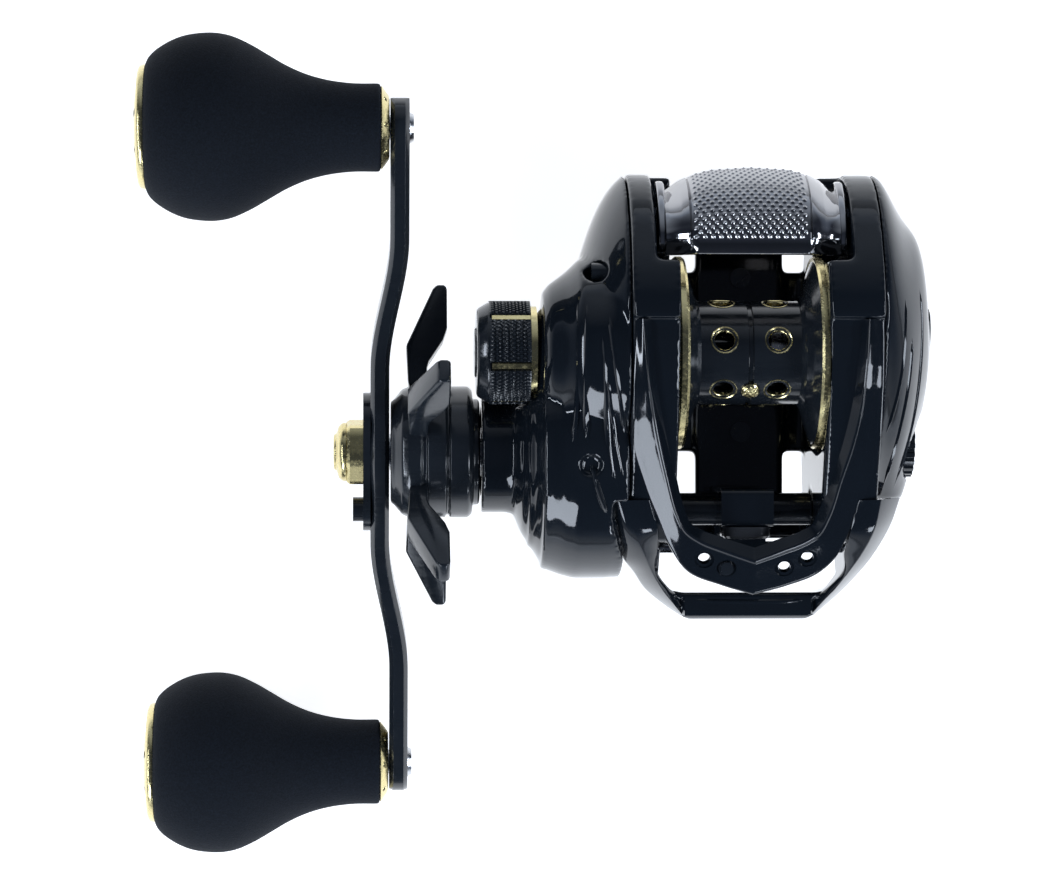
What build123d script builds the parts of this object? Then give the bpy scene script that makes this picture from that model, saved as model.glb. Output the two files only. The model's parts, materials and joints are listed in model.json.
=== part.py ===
from build123d import *
import math
import os

# Low-profile baitcasting reel, right-hand retrieve.
# Millimetres.  +Y points to the back of the reel (the thumb bar), +Z up, away from the rod.
# The origin is on the rod's axis, under the middle of the foot.  The handle is on the -X side.

# ---------------------------------------------------------------- driving dimensions
ROD_R = 8.0                      # radius of the saddle under the foot
FOOT_W, FOOT_L, FOOT_T = 13.2, 62.0, 2.4

SPOOL = (0.0, 29.0)              # (y, z) of the spool's axis
SPOOL_MID_X = -0.6
FLANGE_R, ARBOR_R = 15.8, 8.5
FLANGE_INSIDE = 10.7             # from the spool's middle to each flange's inner face
SHAFT_R = 1.2

MODULE = 0.5
DRIVE_TEETH, PINION_TEETH = 65, 10
WIND_TEETH, WORM_TEETH = 22, 16
GEAR_CENTRES = MODULE * (DRIVE_TEETH + PINION_TEETH) / 2
WORM_CENTRES = MODULE * (WIND_TEETH + WORM_TEETH) / 2
HANDLE = (-16.3, SPOOL[1] - math.sqrt(GEAR_CENTRES**2 - 16.3**2))
WORM = (HANDLE[0] - WORM_CENTRES, HANDLE[1])
GUIDE_BAR = (-32.3, 16.5)        # rail in front of the worm
GUIDE_BAR_R = 1.0

GEAR_SEAM_X, PALM_SEAM_X = -20.6, 20.0      # where the side covers meet the frame
LEFT_WALL_X, RIGHT_WALL_X = -12.8, 11.0     # inner faces of the frame's two walls
WEB = (-7.5, 7.3)                           # x range of the stem over the foot
GUARD_SEAM_Y = -24.2                        # back edge of the front guard

HANDLE_HALF = 54.5               # handle axis to knob axis
HANDLE_TILT = 15.0               # degrees, back knob up
ARM_T = 3.1
ARM_X = -62.3                    # outer face of the arm at its middle
ARM_DROP = 3.2                   # how far the ends step in towards the reel

RUN = 0.05                       # radial clearance of a running fit
GAP = 0.3                        # between pieces that move past each other

os.makedirs("parts", exist_ok=True)


# ---------------------------------------------------------------- helpers
def section(x, centre=(0.0, 0.0), turn=0.0):
    """A plane across X, local x along +Y and local y along +Z, turned about X by some degrees."""
    c, s = math.cos(math.radians(turn)), math.sin(math.radians(turn))
    return Plane(origin=(x, centre[0], centre[1]), x_dir=(0, c, s), z_dir=(1, 0, 0))


def round_bar(centre, x0, x1, radius, mode=Mode.ADD):
    """A cylinder along X from x0 to x1."""
    with BuildSketch(section(x0, centre)) as circle:
        Circle(radius)
    extrude(circle.sketch, amount=x1 - x0, mode=mode)


def turned(centre, outline, mode=Mode.ADD):
    """Revolve a closed (x, radius) outline about an axis along X."""
    y, z = centre
    with BuildSketch(Plane(origin=(0, y, z), x_dir=(1, 0, 0), z_dir=(0, -1, 0))) as profile:
        with BuildLine():
            Polyline(*outline, close=True)
        make_face()
    revolve(profile.sketch, axis=Axis((0, y, z), (1, 0, 0)), mode=mode)


def ring_bar(centre, x0, x1, inner, outer, mode=Mode.ADD):
    """A tube along X."""
    turned(centre, [(x0, inner), (x0, outer), (x1, outer), (x1, inner)], mode)


def block(x_range, y_range, z_range, mode=Mode.ADD):
    """A box from its three ranges."""
    size = [b - a for a, b in (x_range, y_range, z_range)]
    middle = [(a + b) / 2 for a, b in (x_range, y_range, z_range)]
    with Locations(tuple(middle)):
        Box(*size, mode=mode)


def side_prism(points, x0, x1, mode=Mode.ADD):
    """A closed smooth (y, z) outline, pushed along X."""
    with BuildSketch(section(x0)) as profile:
        with BuildLine():
            Spline(*points, periodic=True)
        make_face()
    extrude(profile.sketch, amount=x1 - x0, mode=mode)


def side_polygon(points, x0, x1, mode=Mode.ADD):
    """A closed straight-sided (y, z) outline, pushed along X."""
    with BuildSketch(section(x0)) as profile:
        with BuildLine():
            Polyline(*points, close=True)
        make_face()
    extrude(profile.sketch, amount=x1 - x0, mode=mode)


def plan_polygon(points, z0, z1, mode=Mode.ADD):
    """A closed straight-sided (x, y) outline, pushed along Z."""
    with BuildSketch(Plane.XY.offset(z0)) as profile:
        with BuildLine():
            Polyline(*points, close=True)
        make_face()
    extrude(profile.sketch, amount=z1 - z0, mode=mode)


BODY_SHAPE = [  # the reel's side view as fractions of its length (nose to back) and height
    (1.000, 0.50), (0.965, 0.70), (0.88, 0.86), (0.76, 0.965), (0.62, 1.000), (0.45, 0.935),
    (0.27, 0.77), (0.11, 0.52), (0.000, 0.30), (0.06, 0.14), (0.25, 0.055), (0.50, 0.000),
    (0.72, 0.05), (0.87, 0.14), (0.96, 0.30),
]


def body_points(y0, y1, z0, z1):
    """The side view fitted to a box."""
    return [(y0 + u * (y1 - y0), z0 + v * (z1 - z0)) for u, v in BODY_SHAPE]


def dome(sections, mode=Mode.ADD):
    """A smooth shell volume through side views at given x: (x, (y0, y1, z0, z1))."""
    faces = []
    for x, limits in sections:
        with BuildSketch(section(x)) as profile:
            with BuildLine():
                Spline(*body_points(*limits), periodic=True)
            make_face()
        faces.append(profile.sketch)
    loft(faces, mode=mode)


def shrunk(sections, wall, skip=1.6):
    """The same sections, smaller by a wall and stopping short of the dome's top."""
    x_end = sections[-1][0]
    x_start = sections[0][0]
    reach = (x_end - x_start - math.copysign(skip, x_end - x_start)) / (x_end - x_start)
    return [
        (x_start + (x - x_start) * reach, (y0 + wall, y1 - wall, z0 + wall, z1 - wall))
        for x, (y0, y1, z0, z1) in sections
    ]


def gear_outline(teeth, backlash=0.10, addendum=0.8, dedendum=1.2, pressure=25.0, flank_steps=4):
    """Points of a spur gear with involute flanks; a tooth is centred on local +x."""
    pitch_r = MODULE * teeth / 2
    base_r = pitch_r * math.cos(math.radians(pressure))
    tip_r = pitch_r + addendum * MODULE
    root_r = pitch_r - dedendum * MODULE
    tan_p = math.tan(math.radians(pressure))
    involute_p = tan_p - math.radians(pressure)
    half_p = math.pi / (2 * teeth) - backlash / (2 * pitch_r)

    def half_angle(r):
        if r <= base_r:
            return half_p + involute_p
        a = math.acos(base_r / r)
        return half_p + involute_p - (math.tan(a) - a)

    start_r = max(base_r, root_r)
    flank = [start_r + (tip_r - start_r) * k / flank_steps for k in range(flank_steps + 1)]
    points = []
    for tooth in range(teeth):
        centre = 2 * math.pi * tooth / teeth
        rise = [(r, centre - half_angle(r)) for r in flank]
        fall = [(r, centre + half_angle(r)) for r in reversed(flank)]
        foot = []
        if start_r > root_r:
            edge = half_angle(start_r)
            foot = [(root_r, centre + edge), (root_r, centre + 2 * math.pi / teeth - edge)]
        points += [(r * math.cos(a), r * math.sin(a)) for r, a in rise + fall + foot]
    return points


def spur_gear(teeth, centre, turn, x0, x1, mode=Mode.ADD):
    """A spur gear about an axis along X, one tooth pointing along the turned local x."""
    with BuildSketch(section(x0, centre, turn)) as profile:
        with BuildLine():
            Polyline(*gear_outline(teeth), close=True)
        make_face()
    extrude(profile.sketch, amount=x1 - x0, mode=mode)


def finish(part, label):
    """Name a finished piece and write it."""
    part.part.label = label
    export_step(part.part, f"parts/{label}.step")


MESH_ANGLE = math.degrees(math.atan2(SPOOL[1] - HANDLE[1], SPOOL[0] - HANDLE[0]))

# ================================================================ frame and fixed pieces
BODY = (-44.4, 29.4, 5.5, 47.4)          # whole side view: y0, y1, z0, z1
WALL_FRONT_Y = -31.0                     # the walls end here, the guard carries on
STEM_BOTTOM, STEM_TOP = 9.8, 12.6        # the stem over the foot
NOTCH_FLOOR = 24.5                       # bottom of the thumb bar's notch
NOTCH_X = (-16.5, 15.1)                  # how far the notch cuts into each wall
HOOD_T = 1.3                             # the hood's thickness
EDGE = 0.05                              # sliver of air at a seam
HOOD_SEAT = HOOD_T + EDGE                # the frame's top is this much under the outer line
FLOOR_X = -18.5                          # left wall's floor, seat of the gear plate
SEAT_X = -13.3                           # bottom of the left flange's seat
HOUSING_R = FLANGE_R + 0.1               # brake housing, a loose fit in the right wall's opening

HOOD_TOP = [  # (y, z) along the top of the hood, back to front
    (5.2, 47.4), (1.4, 47.4), (-6.0, 46.0), (-11.0, 44.2), (-15.0, 42.5), (-25.0, 37.7), (-33.0, 33.8),
    (-40.0, 30.9),
]

# frame: two side walls on one stem, with a bottom plate, a rear bar and a front bar
with BuildPart() as frame:
    side_prism(body_points(*BODY), GEAR_SEAM_X, PALM_SEAM_X)
    # open middle between the walls
    block((LEFT_WALL_X, RIGHT_WALL_X), (-60, 40), (0, 60), Mode.SUBTRACT)
    # front ends, and the step the hood lies on
    block((-40, 40), (-60, WALL_FRONT_Y), (0, 60), Mode.SUBTRACT)
    side_polygon([(y, z - HOOD_SEAT) for y, z in HOOD_TOP] + [(-40.0, 60), (5.2, 60)], -30, 30,
                 Mode.SUBTRACT)
    # thumb bar's notch in both walls
    block(NOTCH_X, (14.6, 40), (NOTCH_FLOOR, 60), Mode.SUBTRACT)
    # stem, bottom plate, rear bar, front bar
    block(WEB, (-28, 20), (STEM_BOTTOM, STEM_TOP))
    block((LEFT_WALL_X, RIGHT_WALL_X), (-16.3, 14.0), (STEM_BOTTOM, 12.2))
    block((LEFT_WALL_X, RIGHT_WALL_X), (19.5, 26.4), (STEM_BOTTOM, 22.5))
    block((LEFT_WALL_X, RIGHT_WALL_X), (WALL_FRONT_Y, -27.6), (STEM_BOTTOM, STEM_TOP))
    # spool's seats: a shallow one on the left, a clear opening on the right
    round_bar(SPOOL, SEAT_X, LEFT_WALL_X, FLANGE_R + GAP, Mode.SUBTRACT)
    round_bar(SPOOL, RIGHT_WALL_X, PALM_SEAM_X, FLANGE_R + GAP, Mode.SUBTRACT)
    round_bar(SPOOL, FLOOR_X, SEAT_X, 8.0, Mode.SUBTRACT)
    # gear plate's pocket
    round_bar(SPOOL, GEAR_SEAM_X, FLOOR_X, 12.3, Mode.SUBTRACT)
    round_bar(HANDLE, GEAR_SEAM_X, FLOOR_X, 9.3, Mode.SUBTRACT)
    round_bar(WORM, GEAR_SEAM_X, FLOOR_X, 4.6, Mode.SUBTRACT)
    # worm, guide bar
    round_bar(WORM, FLOOR_X, LEFT_WALL_X, 2.9, Mode.SUBTRACT)
    round_bar(WORM, RIGHT_WALL_X, 14.6, 2.9, Mode.SUBTRACT)

# reel foot: a saddle on the rod, tapering to thin ends
with BuildPart() as reel_foot:
    with BuildSketch(Plane.XZ.offset(-FOOT_L / 2)) as foot_end:
        Circle(ROD_R + FOOT_T)
        Circle(ROD_R, mode=Mode.SUBTRACT)
        with Locations((0, -20)):
            Rectangle(60, 50, mode=Mode.SUBTRACT)
    extrude(foot_end.sketch, amount=FOOT_L)
    block((-30, -FOOT_W / 2), (-40, 40), (-5, 20), Mode.SUBTRACT)
    block((FOOT_W / 2, 30), (-40, 40), (-5, 20), Mode.SUBTRACT)
    for side in (1, -1):
        with BuildSketch(section(-20)) as taper:
            with BuildLine():
                Polyline((side * 17, 10.5), (side * 32, 9.2), (side * 32, 14), (side * 17, 14),
                         close=True)
            make_face()
        extrude(taper.sketch, amount=40, mode=Mode.SUBTRACT)
    with BuildSketch(Plane.XY) as foot_plan:
        SlotOverall(FOOT_L + 0.001, FOOT_W, rotation=90)
    extrude(foot_plan.sketch, amount=30, mode=Mode.INTERSECT)
    # flat seat for the frame's stem
    block((-20, 20), (-40, 40), (STEM_BOTTOM, 20), Mode.SUBTRACT)

# rivets through the stem into the foot
with BuildPart() as foot_rivets:
    for y in (-13.0, 13.0):
        with Locations((0, y, STEM_TOP)):
            Cylinder(1.7, 0.8, align=(Align.CENTER, Align.CENTER, Align.MIN))

PALM_DOME = [  # (x, (y0, y1, z0, z1))
    (PALM_SEAM_X, (-33.9, 29.4, 5.8, 46.2)), (22.2, (-31.4, 27.6, 7.0, 44.6)),
    (24.2, (-28.8, 24.0, 8.8, 42.5)), (26.2, (-24.0, 21.2, 11.4, 39.6)),
    (28.6, (-14.6, 15.0, 16.5, 34.4)), (30.0, (-2.0, 8.0, 22.0, 29.0)),
]

# front guard: two fenders joined by the nose bar, from the seam to the nose
GUARD_PLAN = [
    (-22.9, GUARD_SEAM_Y), (-20.75, GUARD_SEAM_Y), (-20.75, -31.15), (-14.9, -31.15), (-14.9, -36.6),
    (-12.9, -39.2), (-10.4, -39.7), (11.9, -39.7), (14.4, -39.2), (16.4, -36.6), (16.4, -31.15),
    (20.15, -31.15), (20.15, GUARD_SEAM_Y), (25.8, GUARD_SEAM_Y), (25.2, -27.1), (24.2, -28.8),
    (20.6, -33.7), (16.5, -38.6), (13.8, -41.3), (11.6, -43.4), (10.4, -44.2), (-9.4, -44.2),
    (-11.2, -43.4), (-12.6, -42.7), (-15.0, -41.0), (-16.8, -39.4), (-18.3, -37.9), (-22.2, -34.5),
]
with BuildPart() as front_guard:
    plan_polygon(GUARD_PLAN, 4, 40)
    side_prism(body_points(*BODY), -30, 30, Mode.INTERSECT)
    block((-20.7, 20.1), (-60, 0), (30.6, 60), Mode.SUBTRACT)
    # its palm side carries on the palm cover's curve
    block((PALM_SEAM_X + EDGE, 40), (-60, 0), (0, 60), Mode.SUBTRACT)
    dome(PALM_DOME)
    block((PALM_SEAM_X - 1, 40), (GUARD_SEAM_Y, 60), (0, 60), Mode.SUBTRACT)
    block((0, PALM_SEAM_X + EDGE), (-31.15, -20), (0, 60), Mode.SUBTRACT)
    # window behind the nose bar, above it for the line and below it
    block((-14.9, 16.4), (-60, -30), (21.0, 60), Mode.SUBTRACT)
    block((-14.9, 16.4), (-60, -30), (0, 12.0), Mode.SUBTRACT)
    # room for the worm's gear
    round_bar(WORM, -26, -20, 5.2, Mode.SUBTRACT)

# front hood: a bent cover lying on the frame from beside the spool to the nose
HOOD_PLAN_OUT = [
    (-17.3, 5.0), (-20.3, 3.0), (-20.4, -9.5), (-19.8, -16.1), (-17.4, -22.3), (-15.6, -26.9),
    (-13.4, -31.9), (-10.4, -35.9), (-4.8, -38.0), (0.5, -39.7), (6.2, -38.2), (11.6, -35.9),
    (13.2, -34.4), (15.0, -30.4), (17.9, -23.9), (19.6, -16.5), (19.8, -9.5), (19.7, 3.0), (17.0, 5.0),
]
HOOD_PLAN_IN = [
    (16.9, -4.1), (15.1, -13.4), (13.4, -19.4), (12.2, -24.4), (11.0, -28.4), (9.0, -30.6),
    (0.5, -34.0), (-7.0, -31.6), (-9.6, -29.8), (-10.9, -26.8), (-12.4, -21.8), (-14.1, -14.9),
    (-16.4, -6.1),
]
HOOD_HOLES = [(-7.9, -33.9), (-4.2, -35.3), (5.3, -35.2), (9.1, -33.7)]
HOOD_HOLE_R = 1.0
with BuildPart() as front_hood:
    plan_polygon(HOOD_PLAN_OUT + HOOD_PLAN_IN, 20, 60)
    underside = [(y, z - HOOD_T) for y, z in reversed(HOOD_TOP)]
    side_polygon(HOOD_TOP + underside, -30, 30, Mode.INTERSECT)
    with Locations(*[(x, y, 40) for x, y in HOOD_HOLES]):
        Cylinder(HOOD_HOLE_R, 60, mode=Mode.SUBTRACT)

# plate that carries the gears' inner bearings
PLATE_X = (FLOOR_X - 2.0, FLOOR_X)
PINION_BEARING_R, DRIVE_BEARING_R = 5.0, 3.6
with BuildPart() as gear_plate:
    round_bar(SPOOL, *PLATE_X, 12.1)
    round_bar(HANDLE, *PLATE_X, 9.1)
    round_bar(WORM, *PLATE_X, 4.4)
    round_bar(SPOOL, *PLATE_X, PINION_BEARING_R, Mode.SUBTRACT)
    round_bar(HANDLE, *PLATE_X, DRIVE_BEARING_R, Mode.SUBTRACT)
    round_bar(WORM, *PLATE_X, 2.9, Mode.SUBTRACT)

# ---------------------------------------------------------------- handle-side cover
DRUM_OUTLINE = [  # (x, radius) about the handle's axis
    (GEAR_SEAM_X, 21.0), (-28.7, 21.0), (-31.0, 20.4), (-33.7, 19.4), (-35.2, 16.8), (-37.4, 13.5),
    (-38.8, 10.05), (-44.0, 10.05),
]
BULGE_OUTLINE = [  # (x, radius) about the spool's axis
    (GEAR_SEAM_X, 17.0), (-28.4, 15.2), (-30.7, 13.0), (-33.3, 11.1), (-34.3, 9.8), (-34.5, 7.5),
    (-34.5, 6.8), (-35.15, 6.8),
]
COVER_DOME = [
    (GEAR_SEAM_X, (-37.4, 29.4, 5.0, 46.0)), (-23.2, (-37.0, 26.8, 6.0, 44.0)),
    (-25.6, (-36.0, 22.4, 8.0, 42.0)), (-28.3, (-34.0, 14.4, 11.0, 38.5)),
]
COVER_BOTTOM = 1.2
AR_BEARING = (-43.0, -34.5, 7.0)           # anti-reverse bearing: x range and outer radius
LEFT_BEARING_X = (-39.6, -37.2)
BALL_R = 4.0                               # outer radius of the small ball bearings
KNOB_NECK_R = 5.6                          # the tension knob turns on this neck
COVER_SCREWS = [  # (y, z) of each screw, its outer and inner x, its radius
    ((12.8, 38.0), -26.7, -23.0, 1.5), ((15.5, 14.5), -26.2, -22.8, 1.5), ((-33.2, 10.0), -34.2, -29.6, 1.2),
]
with BuildPart() as handle_side_cover:
    dome(COVER_DOME)
    turned(HANDLE, DRUM_OUTLINE + [(-44.0, 0), (GEAR_SEAM_X, 0)])
    turned(SPOOL, BULGE_OUTLINE + [(-35.15, 0), (GEAR_SEAM_X, 0)])
    # room for the tension knob, and the neck it turns on
    round_bar(SPOOL, -50, -35.15, 8.46 + GAP, Mode.SUBTRACT)
    round_bar(SPOOL, -42.6, -34.0, KNOB_NECK_R)
    # hollow for the gears, pinion and yoke
    dome(shrunk(COVER_DOME, 2.0), Mode.SUBTRACT)
    round_bar(HANDLE, -32.4, GEAR_SEAM_X, 17.6, Mode.SUBTRACT)
    round_bar(SPOOL, -33.2, GEAR_SEAM_X, 9.6, Mode.SUBTRACT)
    round_bar(SPOOL, -28.0, GEAR_SEAM_X, 13.0, Mode.SUBTRACT)
    # bores of the anti-reverse bearing, the seal and the spool bearing
    round_bar(HANDLE, -44.0, -32.4, AR_BEARING[2], Mode.SUBTRACT)
    round_bar(SPOOL, -42.6, -36.9, BALL_R, Mode.SUBTRACT)
    round_bar(SPOOL, -37.0, -33.0, 1.9, Mode.SUBTRACT)
    for centre, x0, x1, r in COVER_SCREWS:
        round_bar(centre, x0, x1, r, Mode.SUBTRACT)
    # flat bottom, and the front guard's room
    block((-60, 0), (-60, 40), (-20, COVER_BOTTOM), Mode.SUBTRACT)
    block((-23.1, 0), (-60, GUARD_SEAM_Y), (-20, 60), Mode.SUBTRACT)

# screws of the handle-side cover, and the hood's screw in one of its four holes
with BuildPart() as cover_screws:
    with Locations((*HOOD_HOLES[1], 27.5)):
        Cylinder(HOOD_HOLE_R, 5.2, align=(Align.CENTER, Align.CENTER, Align.MIN))
    for centre, x0, x1, r in COVER_SCREWS:
        round_bar(centre, x0, x1, r)

# ---------------------------------------------------------------- palm side cover
DIAL = (-14.5, 22.5)             # (y, z) of the brake dial's axis
DIAL_R, DIAL_X = 6.0, (24.2, 27.4)
DIAL_NOTCHES = 24
with BuildPart() as palm_side_cover:
    dome(PALM_DOME)
    dome([(x + (0.001 if k == 0 else 0), s) for k, (x, s) in enumerate(shrunk(PALM_DOME, 1.8))],
         Mode.SUBTRACT)
    block((0, 40), (-60, GUARD_SEAM_Y + 0.1), (0, 60), Mode.SUBTRACT)
    round_bar(DIAL, DIAL_X[0] - 1.6, DIAL_X[0] - 0.1, DIAL_R + 1.4)
    round_bar(DIAL, DIAL_X[0] - 0.1, 40, DIAL_R + GAP, Mode.SUBTRACT)
    round_bar(DIAL, DIAL_X[0] - 1.6, DIAL_X[0], 1.25, Mode.SUBTRACT)

# brake dial
with BuildPart() as brake_dial:
    round_bar(DIAL, *DIAL_X, DIAL_R)
    round_bar(DIAL, DIAL_X[0] - 1.9, DIAL_X[0], 1.2)
    for step in range(DIAL_NOTCHES):
        a = 2 * math.pi * step / DIAL_NOTCHES
        notch = (DIAL[0] + DIAL_R * math.cos(a), DIAL[1] + DIAL_R * math.sin(a))
        round_bar(notch, DIAL_X[0], DIAL_X[1] + 1, 0.45, Mode.SUBTRACT)

# brake housing: closes the frame's opening and carries the magnets and the spool's bearing
RIGHT_BEARING_X = (17.0, 19.4)
with BuildPart() as brake_housing:
    turned(SPOOL, [(14.8, 1.9), (14.8, HOUSING_R), (PALM_SEAM_X, HOUSING_R), (PALM_SEAM_X, 14.4),
                   (16.4, 14.4),
                   (16.4, 6.4), (PALM_SEAM_X, 6.4), (PALM_SEAM_X, BALL_R), (17.0, BALL_R), (17.0, 1.9)])

# ring of brake magnets
with BuildPart() as brake_magnets:
    for step in range(6):
        a = 2 * math.pi * step / 6
        magnet = (SPOOL[0] + 6.0 * math.cos(a), SPOOL[1] + 6.0 * math.sin(a))
        round_bar(magnet, 11.0, 14.8, 0.9)


def ball_bearing(centre, x0, x1, bore, outer):
    """A closed ball bearing: one ring with shield grooves in both faces."""
    inner_land, outer_land = bore + 0.28 * (outer - bore), bore + 0.75 * (outer - bore)
    turned(centre, [
        (x0, bore), (x0, inner_land), (x0 + 0.25, inner_land), (x0 + 0.25, outer_land), (x0, outer_land),
        (x0, outer), (x1, outer), (x1, outer_land), (x1 - 0.25, outer_land), (x1 - 0.25, inner_land),
        (x1, inner_land), (x1, bore),
    ])


with BuildPart() as spool_bearing_left:
    ball_bearing(SPOOL, *LEFT_BEARING_X, SHAFT_R + RUN, BALL_R)
with BuildPart() as spool_bearing_right:
    ball_bearing(SPOOL, *RIGHT_BEARING_X, SHAFT_R + RUN, BALL_R)
PINION_R = 2.4
with BuildPart() as pinion_bearing:
    ball_bearing(SPOOL, *PLATE_X, PINION_R + RUN, PINION_BEARING_R)
DRIVE_END_R = 1.5
with BuildPart() as drive_shaft_bearing:
    ball_bearing(HANDLE, *PLATE_X, DRIVE_END_R + RUN, DRIVE_BEARING_R)
SLEEVE_R = 4.0
with BuildPart() as anti_reverse_bearing:
    ball_bearing(HANDLE, *AR_BEARING[:2], SLEEVE_R + RUN, AR_BEARING[2])

# ---------------------------------------------------------------- level wind's fixed pieces
TUBE_R, TUBE_BORE = 2.7, 2.3
WORM_R = 2.15
with BuildPart() as worm_tube:
    ring_bar(WORM, LEFT_WALL_X, RIGHT_WALL_X, TUBE_BORE, TUBE_R)
    block((LEFT_WALL_X + 2, RIGHT_WALL_X - 2), (WORM[0] - 1.1, WORM[0] + 1.1),
          (WORM[1] - 4, WORM[1] - 1), Mode.SUBTRACT)
with BuildPart() as worm_bushings:
    for x0, x1 in ((PLATE_X[0], LEFT_WALL_X - 0.2), (RIGHT_WALL_X + 0.2, 14.4)):
        ring_bar(WORM, x0, x1, SHAFT_R + RUN, 2.9)
with BuildPart() as guide_bar:
    round_bar(GUIDE_BAR, -14.9, 16.4, GUIDE_BAR_R)

# ---------------------------------------------------------------- spool
FLARE = [(9.7, 12.2), (8.9, 9.6), (8.2, ARBOR_R)]     # line side, from the spool's middle: (x, radius)
RIM_R = FLANGE_R - 0.8           # where the flanges end and their bright rings begin
# outer sides of the flanges, in the same way
BACK = [(FLANGE_INSIDE + 1.1, RIM_R), (11.2, 13.4), (10.3, 10.8), (9.4, 8.6), (8.6, 7.3)]
# seat of the pin the line is tied to
LINE_PIN_R, LINE_PIN_ANGLE = 1.5, math.radians(-47)
PIN_SEAT = Plane(origin=(SPOOL_MID_X, SPOOL[0], SPOOL[1]), x_dir=(1, 0, 0),
                 z_dir=(0, math.sin(LINE_PIN_ANGLE), math.cos(LINE_PIN_ANGLE))).offset(ARBOR_R - 0.5)
SPOOL_HOLE_R, SPOOL_HOLE_X = 1.7, 4.4
SPOOL_HOLE_ROWS, FIRST_ROW = 6, 13
with BuildPart() as spool:
    mid = SPOOL_MID_X
    left = [(mid - FLANGE_INSIDE, RIM_R)] + [(mid - x, r) for x, r in FLARE]
    right = [(mid + x, r) for x, r in reversed(FLARE)] + [(mid + FLANGE_INSIDE, RIM_R)]
    turned(SPOOL, left + [(mid - 0.45, ARBOR_R), (mid - 0.3, ARBOR_R - 0.4), (mid + 0.3, ARBOR_R - 0.4),
                          (mid + 0.45, ARBOR_R)] + right + [
        *[(mid + x, r) for x, r in BACK],
        (mid - 7.4, 7.3), (mid - 7.4, 2.6), (mid + 3.2, 2.6), (mid + 3.2, SHAFT_R), (mid - 11.8, SHAFT_R),
        (mid - 11.8, 2.8), (mid - 9.0, 2.8), (mid - 9.0, 7.9), (mid - 9.4, 8.6),
        *[(mid - x, r) for x, r in reversed(BACK[:3])],
    ])
    for row in range(SPOOL_HOLE_ROWS):
        angle = math.radians(FIRST_ROW + 360 * row / SPOOL_HOLE_ROWS)
        for x in (mid - SPOOL_HOLE_X, mid + SPOOL_HOLE_X):
            spoke = Plane(origin=(x, SPOOL[0], SPOOL[1]), x_dir=(1, 0, 0),
                          z_dir=(0, math.sin(angle), math.cos(angle)))
            with BuildSketch(spoke.offset(4.5)) as hole:
                Circle(SPOOL_HOLE_R)
            extrude(hole.sketch, amount=6, mode=Mode.SUBTRACT)
    with BuildSketch(PIN_SEAT) as pin_seat:
        Circle(LINE_PIN_R + 0.02)
    extrude(pin_seat.sketch, amount=2, mode=Mode.SUBTRACT)

# bright rings on both flanges' rims
with BuildPart() as flange_rings:
    for side in (-1, 1):
        turned(SPOOL, [(SPOOL_MID_X + side * x, r) for x, r in
                       ((FLANGE_INSIDE, RIM_R), (FLANGE_INSIDE - 0.1, FLANGE_R - 0.3),
                        (FLANGE_INSIDE + 0.3, FLANGE_R), (FLANGE_INSIDE + 1.2, FLANGE_R),
                        (FLANGE_INSIDE + 1.6, FLANGE_R - 0.4), (FLANGE_INSIDE + 1.1, RIM_R))])
with BuildPart() as line_pin:
    with BuildSketch(PIN_SEAT) as pin_foot:
        Circle(LINE_PIN_R)
    extrude(pin_foot.sketch, amount=0.9)
with BuildPart() as spool_shaft:
    round_bar(SPOOL, -41.4, 19.6, SHAFT_R)
CROSS_PIN_X, CROSS_PIN_R = -16.85, 0.7
with BuildPart() as spool_pin:
    with Locations((CROSS_PIN_X, SPOOL[0], SPOOL[1])):
        Cylinder(CROSS_PIN_R, 6.6)
    round_bar(SPOOL, CROSS_PIN_X - 2, CROSS_PIN_X + 2, SHAFT_R, Mode.SUBTRACT)
ROTOR_X = (SPOOL_MID_X + 3.6, SPOOL_MID_X + 12.6)
with BuildPart() as brake_rotor:
    turned(SPOOL, [(ROTOR_X[0] + 0.6, SHAFT_R), (ROTOR_X[0] + 0.6, 4.4), (ROTOR_X[1], 4.4),
                   (ROTOR_X[1], 4.9), (ROTOR_X[0], 4.9), (ROTOR_X[0], SHAFT_R)])

# ---------------------------------------------------------------- pinion, yoke and clutch
# the teeth are long enough to stay in mesh when the pinion slides off the cross pin
with BuildPart() as pinion:
    spur_gear(PINION_TEETH, SPOOL, 180 + MESH_ANGLE + 180 / PINION_TEETH, -31.4, -25.2)
    turned(SPOOL, [(-25.2, 0), (-25.2, PINION_R), (-24.8, PINION_R), (-24.8, 1.9), (-23.6, 1.9),
                   (-23.6, PINION_R), (-16.1, PINION_R), (-16.1, 0)])
    round_bar(SPOOL, -32, -16, SHAFT_R + RUN, Mode.SUBTRACT)
    block((CROSS_PIN_X - CROSS_PIN_R - 0.15, -16), (-0.85, 0.85), (SPOOL[1] - 5, SPOOL[1] + 5),
          Mode.SUBTRACT)

YOKE_X = (-24.6, -23.8)
POSTS = [(7.6, SPOOL[1]), (-7.6, SPOOL[1] + 2.0)]
POST_R = 0.8
with BuildPart() as yoke:
    side_polygon([(-9.6, 29.2), (9.6, 27.2), (9.6, 32.4), (3.6, 34.4), (-3.6, 34.4), (-9.6, 33.0)], *YOKE_X)
    block(YOKE_X, (-1.95, 1.95), (20, SPOOL[1]), Mode.SUBTRACT)
    round_bar(SPOOL, *YOKE_X, 1.95, Mode.SUBTRACT)
    for post in POSTS:
        round_bar(post, *YOKE_X, POST_R + RUN, Mode.SUBTRACT)
with BuildPart() as yoke_posts:
    for post in POSTS:
        round_bar(post, -26.3, PLATE_X[0], POST_R)

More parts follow.
